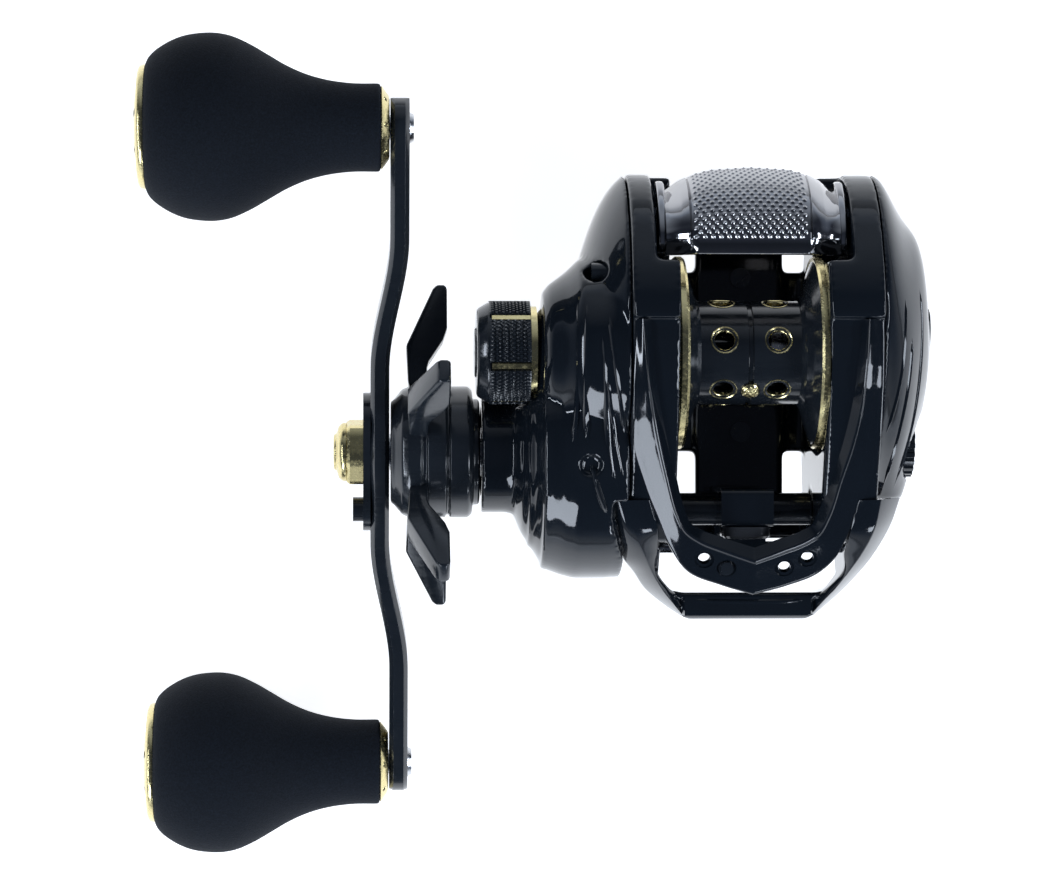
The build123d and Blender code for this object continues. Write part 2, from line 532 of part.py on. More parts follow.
# cam ring that lifts the yoke when the thumb bar goes down
CAM_X = (-22.0, -20.9)
with BuildPart() as clutch_cam:
    ring_bar(SPOOL, *CAM_X, 4.6, 6.4)
    with BuildSketch(section(CAM_X[0], SPOOL, 60)) as lever:
        with Locations((9.0, 0)):
            Rectangle(6.0, 2.4)
        with Locations((11.4, 0)):
            Circle(1.5)
    extrude(lever.sketch, amount=CAM_X[1] - CAM_X[0])

# ---------------------------------------------------------------- worm and line guide
with BuildPart() as worm_shaft:
    turned(WORM, [(-24.2, 0), (-24.2, SHAFT_R), (LEFT_WALL_X + 0.2, SHAFT_R), (LEFT_WALL_X + 0.2, WORM_R),
                  (RIGHT_WALL_X - 0.2, WORM_R), (RIGHT_WALL_X - 0.2, SHAFT_R), (14.2, SHAFT_R), (14.2, 0)])
with BuildPart() as worm_gear:
    spur_gear(WORM_TEETH, WORM, 180 / WORM_TEETH, -24.0, -22.2)
    round_bar(WORM, -25, -22, SHAFT_R, Mode.SUBTRACT)
GUIDE_X = (-4.9, 3.7)
EYE_R = 1.8
EYE = ((GUIDE_X[0] + GUIDE_X[1]) / 2, -28.6, 26.2)       # middle of the line's eye
with BuildPart() as line_guide:
    block(GUIDE_X, (-28.5, -22.2), (14.2, 30.8))
    block(GUIDE_X, (-34.3, -28.0), (14.2, 18.8))
    fillet(line_guide.edges().filter_by(Axis.X).sort_by(Axis.Z)[-2:], 1.2)
    round_bar(WORM, -6, 5, TUBE_R + RUN, Mode.SUBTRACT)
    round_bar(GUIDE_BAR, -6, 5, GUIDE_BAR_R + RUN, Mode.SUBTRACT)
    with Locations(Plane(origin=EYE, z_dir=(0, 1, 0))):
        Cylinder(2.6, 40, mode=Mode.SUBTRACT)
    with Locations((EYE[0], WORM[0], 14.2)):
        Cylinder(1.5, 4.0, align=(Align.CENTER, Align.CENTER, Align.MIN), mode=Mode.SUBTRACT)
EYE_LENGTH = 8.4
with BuildPart() as guide_insert:
    with BuildSketch(Plane(origin=(EYE[0], -22.3, EYE[2]), x_dir=(1, 0, 0), z_dir=(0, -1, 0))) as eye_ring:
        Circle(2.6)
        Circle(EYE_R, mode=Mode.SUBTRACT)
    extrude(eye_ring.sketch, amount=EYE_LENGTH)
with BuildPart() as pawl:
    with Locations((EYE[0], WORM[0], 15.2)):
        Cylinder(0.9, WORM[1] - WORM_R - 0.1 - 15.2, align=(Align.CENTER, Align.CENTER, Align.MIN))
with BuildPart() as pawl_cap:
    with Locations((EYE[0], WORM[0], 14.2)):
        Cylinder(1.5, 1.0, align=(Align.CENTER, Align.CENTER, Align.MIN))

# ---------------------------------------------------------------- thumb bar
THUMB_X = (NOTCH_X[0] + 0.5, NOTCH_X[1] - 0.5)
THUMB_PROFILE = [
    (15.4, 43.4), (18.5, 43.6), (23.0, 42.4), (27.0, 39.2), (30.2, 33.4), (29.0, 31.6), (27.6, 33.0),
    (25.0, 36.6), (21.5, 39.2), (18.0, 40.4), (15.4, 40.4),
]
EAR_BOTTOM, EAR_Y = 31.0, 23.0
with BuildPart() as thumb_bar:
    side_polygon(THUMB_PROFILE, *THUMB_X)
    for x0, x1 in ((THUMB_X[0], THUMB_X[0] + 1.8), (THUMB_X[1] - 1.8, THUMB_X[1])):
        side_polygon([(17.4, EAR_BOTTOM), (17.4, 41.0), (21.5, 40.0), (25.2, 37.0), (29.0, 33.2),
                      (28.4, EAR_BOTTOM)], x0, x1)

# springs that push the thumb bar back up, one under each ear
SPRING_TOP = EAR_BOTTOM - 0.05
with BuildPart() as thumb_springs:
    for x in (THUMB_X[0] + 0.9, THUMB_X[1] - 0.9):
        spring_path = Helix(pitch=1.05, height=SPRING_TOP - NOTCH_FLOOR - 0.7, radius=0.95,
                            center=(x, EAR_Y, NOTCH_FLOOR + 0.35))
        with BuildSketch(Plane(origin=spring_path @ 0, z_dir=spring_path % 0)) as wire:
            Circle(0.22)
        sweep(wire.sketch, path=spring_path)
        for z in (NOTCH_FLOOR, SPRING_TOP - 0.4):
            with Locations((x, EAR_Y, z)):
                Cylinder(1.2, 0.4, align=(Align.CENTER, Align.CENTER, Align.MIN))
                Cylinder(0.7, 0.4, align=(Align.CENTER, Align.CENTER, Align.MIN), mode=Mode.SUBTRACT)

# ---------------------------------------------------------------- handle
with BuildPart() as drive_shaft:
    turned(HANDLE, [
        (-68.0, 0), (-68.0, 2.4), (-59.1, 2.4), (-59.1, 3.0), (-44.0, 3.0), (-44.0, SLEEVE_R),
        (-33.4, SLEEVE_R), (-33.4, 3.0), (-26.6, 3.0), (-26.6, 7.4), (-26.0, 7.4), (-26.0, 2.4),
        (PLATE_X[0] - 0.6, 2.4), (PLATE_X[0] - 0.6, DRIVE_END_R), (PLATE_X[1] - 0.1, DRIVE_END_R),
        (PLATE_X[1] - 0.1, 0),
    ])
GEAR_X = (-30.6, -26.6)
CUP_R = 12.0
with BuildPart() as drive_gear:
    spur_gear(DRIVE_TEETH, HANDLE, MESH_ANGLE, *GEAR_X)
    round_bar(HANDLE, GEAR_X[0], GEAR_X[0] + 2.4, CUP_R, Mode.SUBTRACT)
    round_bar(HANDLE, GEAR_X[0], GEAR_X[1], 3.0, Mode.SUBTRACT)
with BuildPart() as drag_washers:
    for k in range(3):
        x = GEAR_X[0] + 0.1 + 0.75 * k
        ring_bar(HANDLE, x, x + 0.7, 3.0, CUP_R - 0.3)
with BuildPart() as ratchet_wheel:
    with BuildSketch(section(-26.0, HANDLE)) as ratchet:
        Circle(7.0)
        with PolarLocations(7.0, 8):
            Rectangle(2.4, 1.6)
        Circle(2.4, mode=Mode.SUBTRACT)
    extrude(ratchet.sketch, amount=1.2)
with BuildPart() as wind_gear:
    spur_gear(WIND_TEETH, HANDLE, 180, -24.2, -22.0)
    round_bar(HANDLE, -25, -21, 2.4, Mode.SUBTRACT)

ARM_PLANE = Plane(origin=(0, *HANDLE), x_dir=(0, math.cos(math.radians(HANDLE_TILT)),
                                              math.sin(math.radians(HANDLE_TILT))),
                  z_dir=(0, math.sin(math.radians(HANDLE_TILT)), -math.cos(math.radians(HANDLE_TILT))))


def along_arm(distance):
    """(y, z) at a signed distance along the arm from the handle's axis."""
    return (HANDLE[0] + distance * math.cos(math.radians(HANDLE_TILT)),
            HANDLE[1] + distance * math.sin(math.radians(HANDLE_TILT)))


ARM_END_R, ARM_MID_R = 5.0, 7.4
KNOB_SHAFT_R = 2.0
with BuildPart() as handle_arm:
    half = [(14.7, ARM_X), (36.7, ARM_X + ARM_DROP), (HANDLE_HALF + ARM_END_R, ARM_X + ARM_DROP)]
    outer = [(-s, x) for s, x in reversed(half)] + half
    inner = [(s, x + ARM_T) for s, x in reversed(outer)]
    with BuildSketch(ARM_PLANE) as arm_side:
        with BuildLine():
            Polyline(*outer, *inner, close=True)
        make_face()
    extrude(arm_side.sketch, amount=12, both=True)
    with BuildSketch(section(ARM_X - 5, HANDLE, HANDLE_TILT)) as arm_plan:
        Circle(ARM_MID_R)
        Polygon((0, -6.2), (30, -4.4), (HANDLE_HALF, -4.7), (HANDLE_HALF, 4.7), (30, 4.4), (0, 6.2),
                (-30, 4.4), (-HANDLE_HALF, 4.7), (-HANDLE_HALF, -4.7), (-30, -4.4), align=None)
        with Locations((HANDLE_HALF, 0), (-HANDLE_HALF, 0)):
            Circle(ARM_END_R)
    extrude(arm_plan.sketch, amount=20, mode=Mode.INTERSECT)
    round_bar(HANDLE, -70, -50, 2.4, Mode.SUBTRACT)
    for side in (1, -1):
        round_bar(along_arm(side * HANDLE_HALF), -70, -50, KNOB_SHAFT_R, Mode.SUBTRACT)

with BuildPart() as handle_nut:
    with BuildSketch(section(-66.3, HANDLE, 15)) as hexagon:
        RegularPolygon(radius=5.0, side_count=6, major_radius=False)
    extrude(hexagon.sketch, amount=2.8)
    turned(HANDLE, [(-66.3, 0), (-66.3, 4.9), (-67.4, 4.6), (-68.2, 3.8), (-68.45, 2.6), (-68.45, 0)])
    round_bar(HANDLE, -68.0, -63.0, 2.4, Mode.SUBTRACT)

PLATE_T = 1.2
RETAINER_SCREW = along_arm(-9.9)
with BuildPart() as nut_retainer:
    with BuildSketch(section(ARM_X - PLATE_T, HANDLE, HANDLE_TILT)) as retainer:
        with Locations((-1.7, 0)):
            SlotOverall(23.4, 11.0)
        Circle(2.4, mode=Mode.SUBTRACT)
        with Locations((-9.9, 0)):
            Circle(1.0, mode=Mode.SUBTRACT)
    extrude(retainer.sketch, amount=PLATE_T)
with BuildPart() as retainer_screw:
    round_bar(RETAINER_SCREW, ARM_X - PLATE_T - 1.7, ARM_X - PLATE_T, 2.05)
    round_bar(RETAINER_SCREW, ARM_X - PLATE_T, ARM_X, 1.0)

KNOB_X = (-98.6, -60.7)          # outer and inner end of a grip
KNOB_SHAFT_END = -97.2
with BuildPart() as knob_shafts:
    for side in (1, -1):
        centre = along_arm(side * HANDLE_HALF)
        turned(centre, [(KNOB_SHAFT_END, 0), (KNOB_SHAFT_END, KNOB_SHAFT_R), (-59.1, KNOB_SHAFT_R),
                        (-56.0, KNOB_SHAFT_R), (-56.0, 2.6), (-55.3, 2.2), (-55.3, 0)])

# ---------------------------------------------------------------- star drag
STAR_X = (-58.95, -45.4)
with BuildPart() as star_wheel:
    turned(HANDLE, [(STAR_X[0], 3.0 + RUN), (STAR_X[0], 8.6), (-57.0, 10.5), (-55.0, 10.9), (-46.6, 10.9),
                    (STAR_X[1], 10.2), (STAR_X[1], 8.7), (-44.3, 8.7), (-44.3, 3.0 + RUN)])
    for k in range(5):
        a = math.radians(28 + 72 * k)
        blade = Plane(origin=(0, *HANDLE), x_dir=(1, 0, 0), z_dir=(0, -math.cos(a), math.sin(a)))
        with BuildSketch(blade) as paddle:
            with BuildLine():
                Polyline((-56.0, 9), (-56.0, 11), (-56.35, 18), (-51.5, 28), (-49.5, 28), (-49.5, 20.3),
                         (-52.9, 14.7), (-52.9, 9), close=True)
            make_face()
        extrude(paddle.sketch, amount=2.3, both=True)
# ---------------------------------------------------------------- knobs
GRIP_CORE_R = 3.8
GRIP_PROFILE = [  # (distance from the outer end, radius)
    (0.0, 10.6), (2.4, 12.6), (6.0, 14.6), (10.7, 15.2), (15.0, 14.0), (19.5, 11.4), (23.8, 9.4),
    (28.5, 7.8), (33.0, 7.2), (37.9, 7.2),
]


def knob(name, centre):
    """A grip with its cap, collar and bearings, turning on a knob shaft."""
    with BuildPart() as grip:
        outline = [(KNOB_X[0] + d, r) for d, r in GRIP_PROFILE]
        turned(centre, outline + [(KNOB_X[1], GRIP_CORE_R), (KNOB_X[0], GRIP_CORE_R)])
    with BuildPart() as cap:
        turned(centre, [(KNOB_X[0], 0), (KNOB_X[0], 10.1), (KNOB_X[0] - 0.9, 9.9), (KNOB_X[0] - 1.5, 8.0),
                        (KNOB_X[0] - 1.8, 4.0), (KNOB_X[0] - 1.8, 0)])
        ring_bar(centre, KNOB_X[0], KNOB_X[0] + 1.2, 2.6, GRIP_CORE_R)
    with BuildPart() as collar:
        turned(centre, [(KNOB_X[1], KNOB_SHAFT_R + 0.08), (KNOB_X[1], 6.85), (KNOB_X[1] + 1.4, 5.1),
                        (KNOB_X[1] + 1.4, KNOB_SHAFT_R + 0.08)])
    with BuildPart() as bearings:
        for x0 in (KNOB_X[0] + 4.0, KNOB_X[1] - 3.2):
            ball_bearing(centre, x0, x0 + 2.6, KNOB_SHAFT_R + RUN, GRIP_CORE_R)
    finish(grip, f"{name}_grip")
    finish(cap, f"{name}_cap")
    finish(collar, f"{name}_collar")
    finish(bearings, f"{name}_bearings")


# ---------------------------------------------------------------- tension knob
with BuildPart() as tension_knob:
    turned(SPOOL, [
        (-45.35, 0), (-45.35, 4.0), (-45.0, 4.0), (-45.0, 7.2), (-43.2, 8.2), (-43.1, 8.46), (-36.3, 8.46),
        (-36.3, 5.6 + RUN), (-42.8, 5.6 + RUN), (-42.8, 0),
    ])
with BuildPart() as tension_ring:
    ring_bar(SPOOL, -36.3, -35.25, 5.6 + RUN, 7.6)
with BuildPart() as tension_shim:
    round_bar(SPOOL, -42.8, -42.0, 3.4)

# ================================================================ write every piece
finish(frame, "frame")
finish(reel_foot, "reel_foot")
finish(foot_rivets, "foot_rivets")
finish(front_guard, "front_guard")
finish(front_hood, "front_hood")
finish(gear_plate, "gear_plate")
finish(handle_side_cover, "handle_side_cover")
finish(cover_screws, "cover_screws")
finish(palm_side_cover, "palm_side_cover")
finish(brake_dial, "brake_dial")
finish(brake_housing, "brake_housing")
finish(brake_magnets, "brake_magnets")
finish(spool_bearing_left, "spool_bearing_left")
finish(spool_bearing_right, "spool_bearing_right")
finish(pinion_bearing, "pinion_bearing")
finish(drive_shaft_bearing, "drive_shaft_bearing")
finish(anti_reverse_bearing, "anti_reverse_bearing")
finish(worm_tube, "worm_tube")
finish(worm_bushings, "worm_bushings")
finish(guide_bar, "guide_bar")
finish(spool, "spool")
finish(flange_rings, "flange_rings")
finish(line_pin, "line_pin")
finish(spool_shaft, "spool_shaft")
finish(spool_pin, "spool_pin")
finish(brake_rotor, "brake_rotor")
finish(pinion, "pinion")
finish(yoke, "yoke")
finish(yoke_posts, "yoke_posts")
finish(clutch_cam, "clutch_cam")
finish(worm_shaft, "worm_shaft")
finish(worm_gear, "worm_gear")
finish(line_guide, "line_guide")
finish(guide_insert, "guide_insert")
finish(pawl, "pawl")
finish(pawl_cap, "pawl_cap")
finish(thumb_bar, "thumb_bar")
finish(thumb_springs, "thumb_springs")
finish(drive_shaft, "drive_shaft")
finish(drive_gear, "drive_gear")
finish(drag_washers, "drag_washers")
finish(ratchet_wheel, "ratchet_wheel")
finish(wind_gear, "wind_gear")
finish(handle_arm, "handle_arm")
finish(handle_nut, "handle_nut")
finish(nut_retainer, "nut_retainer")
finish(retainer_screw, "retainer_screw")
finish(knob_shafts, "knob_shafts")
finish(star_wheel, "star_wheel")
knob("knob_a", along_arm(HANDLE_HALF))
knob("knob_b", along_arm(-HANDLE_HALF))
finish(tension_knob, "tension_knob")
finish(tension_ring, "tension_ring")
finish(tension_shim, "tension_shim")
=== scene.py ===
import bmesh
import bpy
import json
import math
import numpy as np
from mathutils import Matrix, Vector
from mathutils.bvhtree import BVHTree


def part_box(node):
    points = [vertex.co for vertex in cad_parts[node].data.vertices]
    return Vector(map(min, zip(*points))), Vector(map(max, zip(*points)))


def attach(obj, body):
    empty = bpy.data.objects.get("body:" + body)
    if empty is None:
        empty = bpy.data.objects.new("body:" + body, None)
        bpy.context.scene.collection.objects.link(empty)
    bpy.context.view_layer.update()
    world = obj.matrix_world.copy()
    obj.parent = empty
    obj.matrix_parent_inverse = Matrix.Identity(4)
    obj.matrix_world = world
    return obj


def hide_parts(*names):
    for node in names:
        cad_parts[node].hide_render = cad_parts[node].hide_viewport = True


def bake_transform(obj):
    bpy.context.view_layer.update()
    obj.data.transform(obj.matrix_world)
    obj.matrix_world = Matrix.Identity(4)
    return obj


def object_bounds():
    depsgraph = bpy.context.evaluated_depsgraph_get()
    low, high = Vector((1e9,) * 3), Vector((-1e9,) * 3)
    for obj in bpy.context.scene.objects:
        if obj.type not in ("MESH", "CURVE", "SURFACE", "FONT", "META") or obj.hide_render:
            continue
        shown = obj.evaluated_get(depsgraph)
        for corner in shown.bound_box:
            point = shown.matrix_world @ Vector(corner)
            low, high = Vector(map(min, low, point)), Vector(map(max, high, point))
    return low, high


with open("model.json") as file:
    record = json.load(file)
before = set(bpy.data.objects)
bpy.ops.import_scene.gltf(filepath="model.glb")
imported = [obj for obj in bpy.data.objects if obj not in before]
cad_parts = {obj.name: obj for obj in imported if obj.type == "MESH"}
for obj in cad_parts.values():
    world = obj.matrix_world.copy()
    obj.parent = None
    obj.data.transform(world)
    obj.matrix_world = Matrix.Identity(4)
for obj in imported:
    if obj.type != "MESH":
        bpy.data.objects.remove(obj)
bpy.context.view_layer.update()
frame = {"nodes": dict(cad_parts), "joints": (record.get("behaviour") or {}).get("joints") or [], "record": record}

MM = 0.001

# ------------------------ places, from the frame
joints = {j["name"]: j for j in frame["joints"]}


def axis_yz(joint):
    """(y, z) in millimetres of a joint whose axis runs along X."""
    p = joints[joint]["pos_m"]
    return p[1] / MM, p[2] / MM


SPOOL = axis_yz("spool_spin")
HANDLE = axis_yz("handle_turn")
KNOB_A = axis_yz("knob_a_spin")
KNOB_B = axis_yz("knob_b_spin")


def span(node, axis):
    """Lowest and highest coordinate of a CAD node along an axis, in millimetres."""
    low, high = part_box(node)
    return low[axis] / MM, high[axis] / MM


# ------------------------ materials
class Nodes:
    """A node tree, with the few nodes that the materials and the sky are made of."""

    def __init__(self, tree):
        self.nodes, self.links = tree.nodes, tree.links

    def add(self, kind, values, **sources):
        """A new node with some sockets set, and others linked to another node's output."""
        node = self.nodes.new(kind)
        for socket, value in values.items():
            node.inputs[socket].default_value = value
        for socket, source in sources.items():
            self.links.new(source, node.inputs[socket])
        return node

    def place(self, stretch=None, shift=(0, 0, 0)):
        """Object coordinates in metres, squeezed along the axes if asked."""
        coord = self.nodes.new("ShaderNodeTexCoord").outputs["Object"]
        if not stretch:
            return coord
        values = {"Scale": stretch, "Location": shift}
        return self.add("ShaderNodeMapping", values, Vector=coord).outputs["Vector"]

    def noise(self, scale, detail, stretch=None):
        """Noise in object space; scale is features per metre."""
        values = {"Scale": scale, "Detail": detail}
        return self.add("ShaderNodeTexNoise", values, Vector=self.place(stretch)).outputs["Fac"]

    def ramp(self, source, low, high, low_value, high_value):
        """Carry a value from one range to another, and hold it at the ends."""
        values = {"From Min": low, "From Max": high, "To Min": low_value, "To Max": high_value}
        return self.add("ShaderNodeMapRange", values, Value=source).outputs["Result"]

    def mix(self, factor, first, second, blend="MIX"):
        """Mix two colours; each of the three is a number or colour, or another node's output."""
        node = self.nodes.new("ShaderNodeMix")
        node.data_type = "RGBA"
        node.blend_type = blend
        for index, value in ((0, factor), (6, first), (7, second)):
            if isinstance(value, bpy.types.NodeSocket):
                self.links.new(value, node.inputs[index])
            else:
                node.inputs[index].default_value = (*value, 1) if isinstance(value, tuple) else value
        return node.outputs[2]


class Surface(Nodes):
    """A material made of one Principled shader."""

    def __init__(self, name, color, metallic=0.0, roughness=0.3, coat=0.0, specular=0.5):
        self.material = bpy.data.materials.new(name)
        self.material.use_nodes = True
        super().__init__(self.material.node_tree)
        self.inputs = self.nodes["Principled BSDF"].inputs
        values = {"Base Color": (*color, 1), "Metallic": metallic, "Roughness": roughness,
                  "Coat Weight": coat, "Coat Roughness": 0.03, "Specular IOR Level": specular}
        for socket, value in values.items():
            self.inputs[socket].default_value = value

    def feed(self, socket, source):
        """Link another node's output to one of the shader's sockets."""
        self.links.new(source, self.inputs[socket])

    def bump(self, height, distance, strength=0.5):
        """Raise the surface by a 0..1 height; distance is in metres."""
        node = self.add("ShaderNodeBump", {"Strength": strength, "Distance": distance}, Height=height)
        self.feed("Normal", node.outputs["Normal"])


def gloss_black(name, color=(0.0055, 0.0079, 0.0115), roughness=0.06):
    """Hard glossy black coat with a faint orange peel and fine dust in its gloss."""
    surface = Surface(name, color, roughness=roughness, coat=0.1, specular=0.42)
    dust = surface.noise(2600, 6)
    surface.feed("Roughness", surface.ramp(dust, 0.35, 0.75, roughness * 0.7, roughness * 1.8))
    surface.feed("Base Color", surface.mix(surface.noise(60, 3), color, tuple(1.45 * c for c in color)))
    surface.bump(surface.noise(900, 2), 0.000004)
    return surface.material


def anodised_black(name, roughness=0.16):
    """Black anodised aluminium: slightly blue, with fine turning marks in the gloss."""
    surface = Surface(name, (0.011, 0.014, 0.019), roughness=roughness, coat=0.15)
    grain = surface.noise(1500, 4, (0.2, 1, 1))
    surface.feed("Roughness", surface.ramp(grain, 0.3, 0.7, roughness * 0.7, roughness * 1.5))
    clouds = surface.noise(220, 3)
    surface.feed("Base Color", surface.mix(clouds, (0.009, 0.0125, 0.017), (0.016, 0.020, 0.026)))
    surface.bump(grain, 0.000005, 0.4)
    return surface.material


def metal(name, dark, light, roughness, depth=0.000004):
    """Bare or anodised metal with fine machining marks."""
    surface = Surface(name, light, metallic=1.0, roughness=roughness)
    grain = surface.noise(1800, 5)
    surface.feed("Roughness", surface.ramp(grain, 0.3, 0.7, roughness * 0.65, roughness * 1.5))
    surface.feed("Base Color", surface.mix(surface.noise(150, 3), dark, light))
    surface.bump(grain, depth)
    return surface.material


def foam(name):
    """Closed-cell foam: matt blue-black with fine pores."""
    surface = Surface(name, (0.005, 0.008, 0.013), roughness=0.88, specular=0.22)
    pores = surface.ramp(surface.noise(3200, 6), 0.35, 0.75, 0, 1)
    surface.feed("Base Color", surface.mix(pores, (0.0030, 0.0050, 0.0086), (0.0078, 0.0118, 0.0195)))
    cells = surface.add("ShaderNodeTexVoronoi", {"Scale": 3800}, Vector=surface.place())
    surface.bump(cells.outputs["Distance"], 0.00006, 0.9)
    return surface.material


def plastic(name, color, roughness):
    """Moulded plastic with a fine spark-eroded grain."""
    surface = Surface(name, color, roughness=roughness)
    grain = surface.noise(4000, 3)
    surface.feed("Base Color", surface.mix(grain, color, tuple(1.6 * c for c in color)))
    surface.bump(grain, 0.00001)
    return surface.material


def woven(name):
    """Carbon fibre drag washer: a fine plain weave."""
    surface = Surface(name, (0.02, 0.02, 0.022), roughness=0.45)
    values = {"Scale": 1200, "Color1": (0.012, 0.012, 0.014, 1), "Color2": (0.045, 0.045, 0.05, 1)}
    checks = surface.add("ShaderNodeTexChecker", values, Vector=surface.place())
    surface.feed("Base Color", checks.outputs["Color"])
    surface.bump(checks.outputs["Fac"], 0.00003, 0.6)
    return surface.material


LOOKS = {  # slot: what makes its material, and the values it takes
    "black_coat": (gloss_black,),
    "black_anodised": (anodised_black,),
    "gold_anodised": (metal, (0.62, 0.52, 0.25), (0.80, 0.70, 0.38), 0.22),
    "smoked_chrome": (metal, (0.33, 0.33, 0.34), (0.44, 0.435, 0.44), 0.07, 0.000002),
    "eva_foam": (foam,),
    "steel": (metal, (0.45, 0.46, 0.48), (0.62, 0.63, 0.65), 0.22),
    "brass": (metal, (0.60, 0.43, 0.18), (0.78, 0.60, 0.30), 0.25),
    "black_plastic": (plastic, (0.012, 0.013, 0.015), 0.45),
    "carbon_washer": (woven,),
    "ceramic": (plastic, (0.030, 0.032, 0.036), 0.12),
    "magnet": (metal, (0.5, 0.5, 0.52), (0.62, 0.62, 0.64), 0.12),
    "bare_aluminium": (metal, (0.58, 0.59, 0.61), (0.75, 0.76, 0.78), 0.28),
}
MATERIALS = {slot: make(slot, *values) for slot, (make, *values) in LOOKS.items()}
SLOT_OF = {s["node"]: s["material_slot"] for s in frame["record"]["subparts"]}
CRISP = 32                   # edges sharper than this, in degrees, stay crisp


def finish_look(obj, slot, angle=CRISP):
    """Give an object its slot's material, and smooth shading with crisp edges."""
    obj.data.materials.clear()
    obj.data.materials.append(MATERIALS[slot])
    for polygon in obj.data.polygons:
        polygon.use_smooth = True
    obj.data.set_sharp_from_angle(angle=math.radians(angle))


for node, obj in frame["nodes"].items():
    finish_look(obj, SLOT_OF[node])


# ------------------------ mesh helpers, in millimetres
def piece(name, verts, faces, body, slot, replaces=(), smooth=CRISP, bevel=0.0, segments=2):
    """A finished mesh piece riding on a body, if it has one. verts are in millimetres."""
    mesh = bpy.data.meshes.new(name)
    places = [tuple(float(c) * MM for c in v) for v in verts]
    mesh.from_pydata(places, [], [tuple(map(int, f)) for f in faces])
    mesh.validate()
    bm = bmesh.new()
    bm.from_mesh(mesh)
    bmesh.ops.remove_doubles(bm, verts=bm.verts, dist=1e-7)
    bmesh.ops.recalc_face_normals(bm, faces=bm.faces)
    bm.to_mesh(mesh)
    bm.free()
    obj = bpy.data.objects.new(name, mesh)
    bpy.context.scene.collection.objects.link(obj)
    if bevel:
        modifier = obj.modifiers.new("bevel", "BEVEL")
        modifier.width = bevel * MM
        modifier.segments = segments
        modifier.limit_method = "ANGLE"
        modifier.angle_limit = math.radians(25)
        bake(obj)
    finish_look(obj, slot, smooth)
    if body:
        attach(obj, body)
        if replaces:
            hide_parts(*replaces)
    return obj


def bake(obj):
    """Apply an object's modifiers."""
    bpy.context.view_layer.update()
    evaluated = obj.evaluated_get(bpy.context.evaluated_depsgraph_get())
    mesh = bpy.data.meshes.new_from_object(evaluated)
    obj.modifiers.clear()
    obj.data = mesh


def about(centre, x, radius, angle):
    """A point at an angle about an X-directed axis, measured from +Z towards +Y."""
    return (x, centre[0] + radius * math.sin(angle), centre[1] + radius * math.cos(angle))


def rounded(points, radius, steps=4):
    """Replace each inner corner of an open (x, r) line by a small arc."""
    out = [points[0]]
    for before, corner, after in zip(points, points[1:], points[2:]):
        a, c, b = (np.array(p, float) for p in (before, corner, after))
        to_a, to_b = a - c, b - c
        length_a, length_b = np.linalg.norm(to_a), np.linalg.norm(to_b)
        if min(length_a, length_b) < 1e-6:
            continue
        cut = min(radius, 0.45 * length_a, 0.45 * length_b)
        start, end = c + to_a / length_a * cut, c + to_b / length_b * cut
        for k in range(steps + 1):
            t = k / steps
            out.append(tuple((1 - t) ** 2 * start + 2 * t * (1 - t) * c + t ** 2 * end))
    out.append(points[-1])
    return out


def curve(points, count):
    """A smooth line of count points through the given points."""
    p = np.array(points, float)
    t = np.concatenate([[0], np.cumsum(np.linalg.norm(np.diff(p, axis=0), axis=1))])
    slopes = np.gradient(p, t, axis=0)
    s = np.linspace(0, t[-1], count)
    i = np.clip(np.searchsorted(t, s, side="right") - 1, 0, len(t) - 2)
    h = (t[i + 1] - t[i])[:, None]
    u = ((s - t[i]) / (t[i + 1] - t[i]))[:, None]
    return ((2 * u**3 - 3 * u**2 + 1) * p[i] + (u**3 - 2 * u**2 + u) * h * slopes[i]
            + (-2 * u**3 + 3 * u**2) * p[i + 1] + (u**3 - u**2) * h * slopes[i + 1])


def grid_faces(rows, columns, close_rows=False, close_columns=False):
    """Quads of a rows by columns grid of vertices."""
    faces = []
    for i in range(rows if close_rows else rows - 1):
        for j in range(columns if close_columns else columns - 1):
            a, b = i * columns + j, i * columns + (j + 1) % columns
            c, d = ((i + 1) % rows) * columns + (j + 1) % columns, ((i + 1) % rows) * columns + j
            faces.append((a, b, c, d))
    return faces


def tube_faces(rows, columns):
    """A grid closed round its columns, with a cap at both ends."""
    return grid_faces(rows, columns, close_columns=True) + [
        tuple(range(columns)), tuple(range(rows * columns - 1, (rows - 1) * columns - 1, -1))]


def lathe_mesh(centre, profile, segments=96, closed=False):
    """Vertices and faces of an (x, r) line turned about an X-directed axis."""
    turns = [2 * math.pi * k / segments for k in range(segments)]
    verts = [about(centre, x, max(r, 0.0), turn) for x, r in profile for turn in turns]
    return verts, grid_faces(len(profile), segments, close_rows=closed, close_columns=True)


def lathe(name, centre, profile, body, slot, replaces=(), segments=96, closed=False, **kw):
    """A finished piece turned from an (x, r) line."""
    verts, faces = lathe_mesh(centre, profile, segments, closed)
    return piece(name, verts, faces, body, slot, replaces, **kw)


def join_meshes(*meshes):
    """Several (verts, faces) as one."""
    verts, faces = [], []
    for v, f in meshes:
        start = len(verts)
        verts += list(v)
        faces += [tuple(i + start for i in face) for face in f]
    return verts, faces


def prism_faces(n):
    """Faces between two outlines of n points, and the outlines themselves."""
    return [tuple(range(n - 1, -1, -1)), tuple(range(n, 2 * n))] + [
        (k, (k + 1) % n, n + (k + 1) % n, n + k) for k in range(n)]


def prism_mesh(outline, thickness, place):
    """A closed 2-D outline pushed through a thickness; place maps (u, v, w) to a point."""
    verts = [place(u, v, w) for w in (-thickness / 2, thickness / 2) for u, v in outline]
    return verts, prism_faces(len(outline))


def oblong(half, low, high):
    """An outline from -half to half across, and from low to high."""
    return [(-half, low), (half, low), (half, high), (-half, high)]


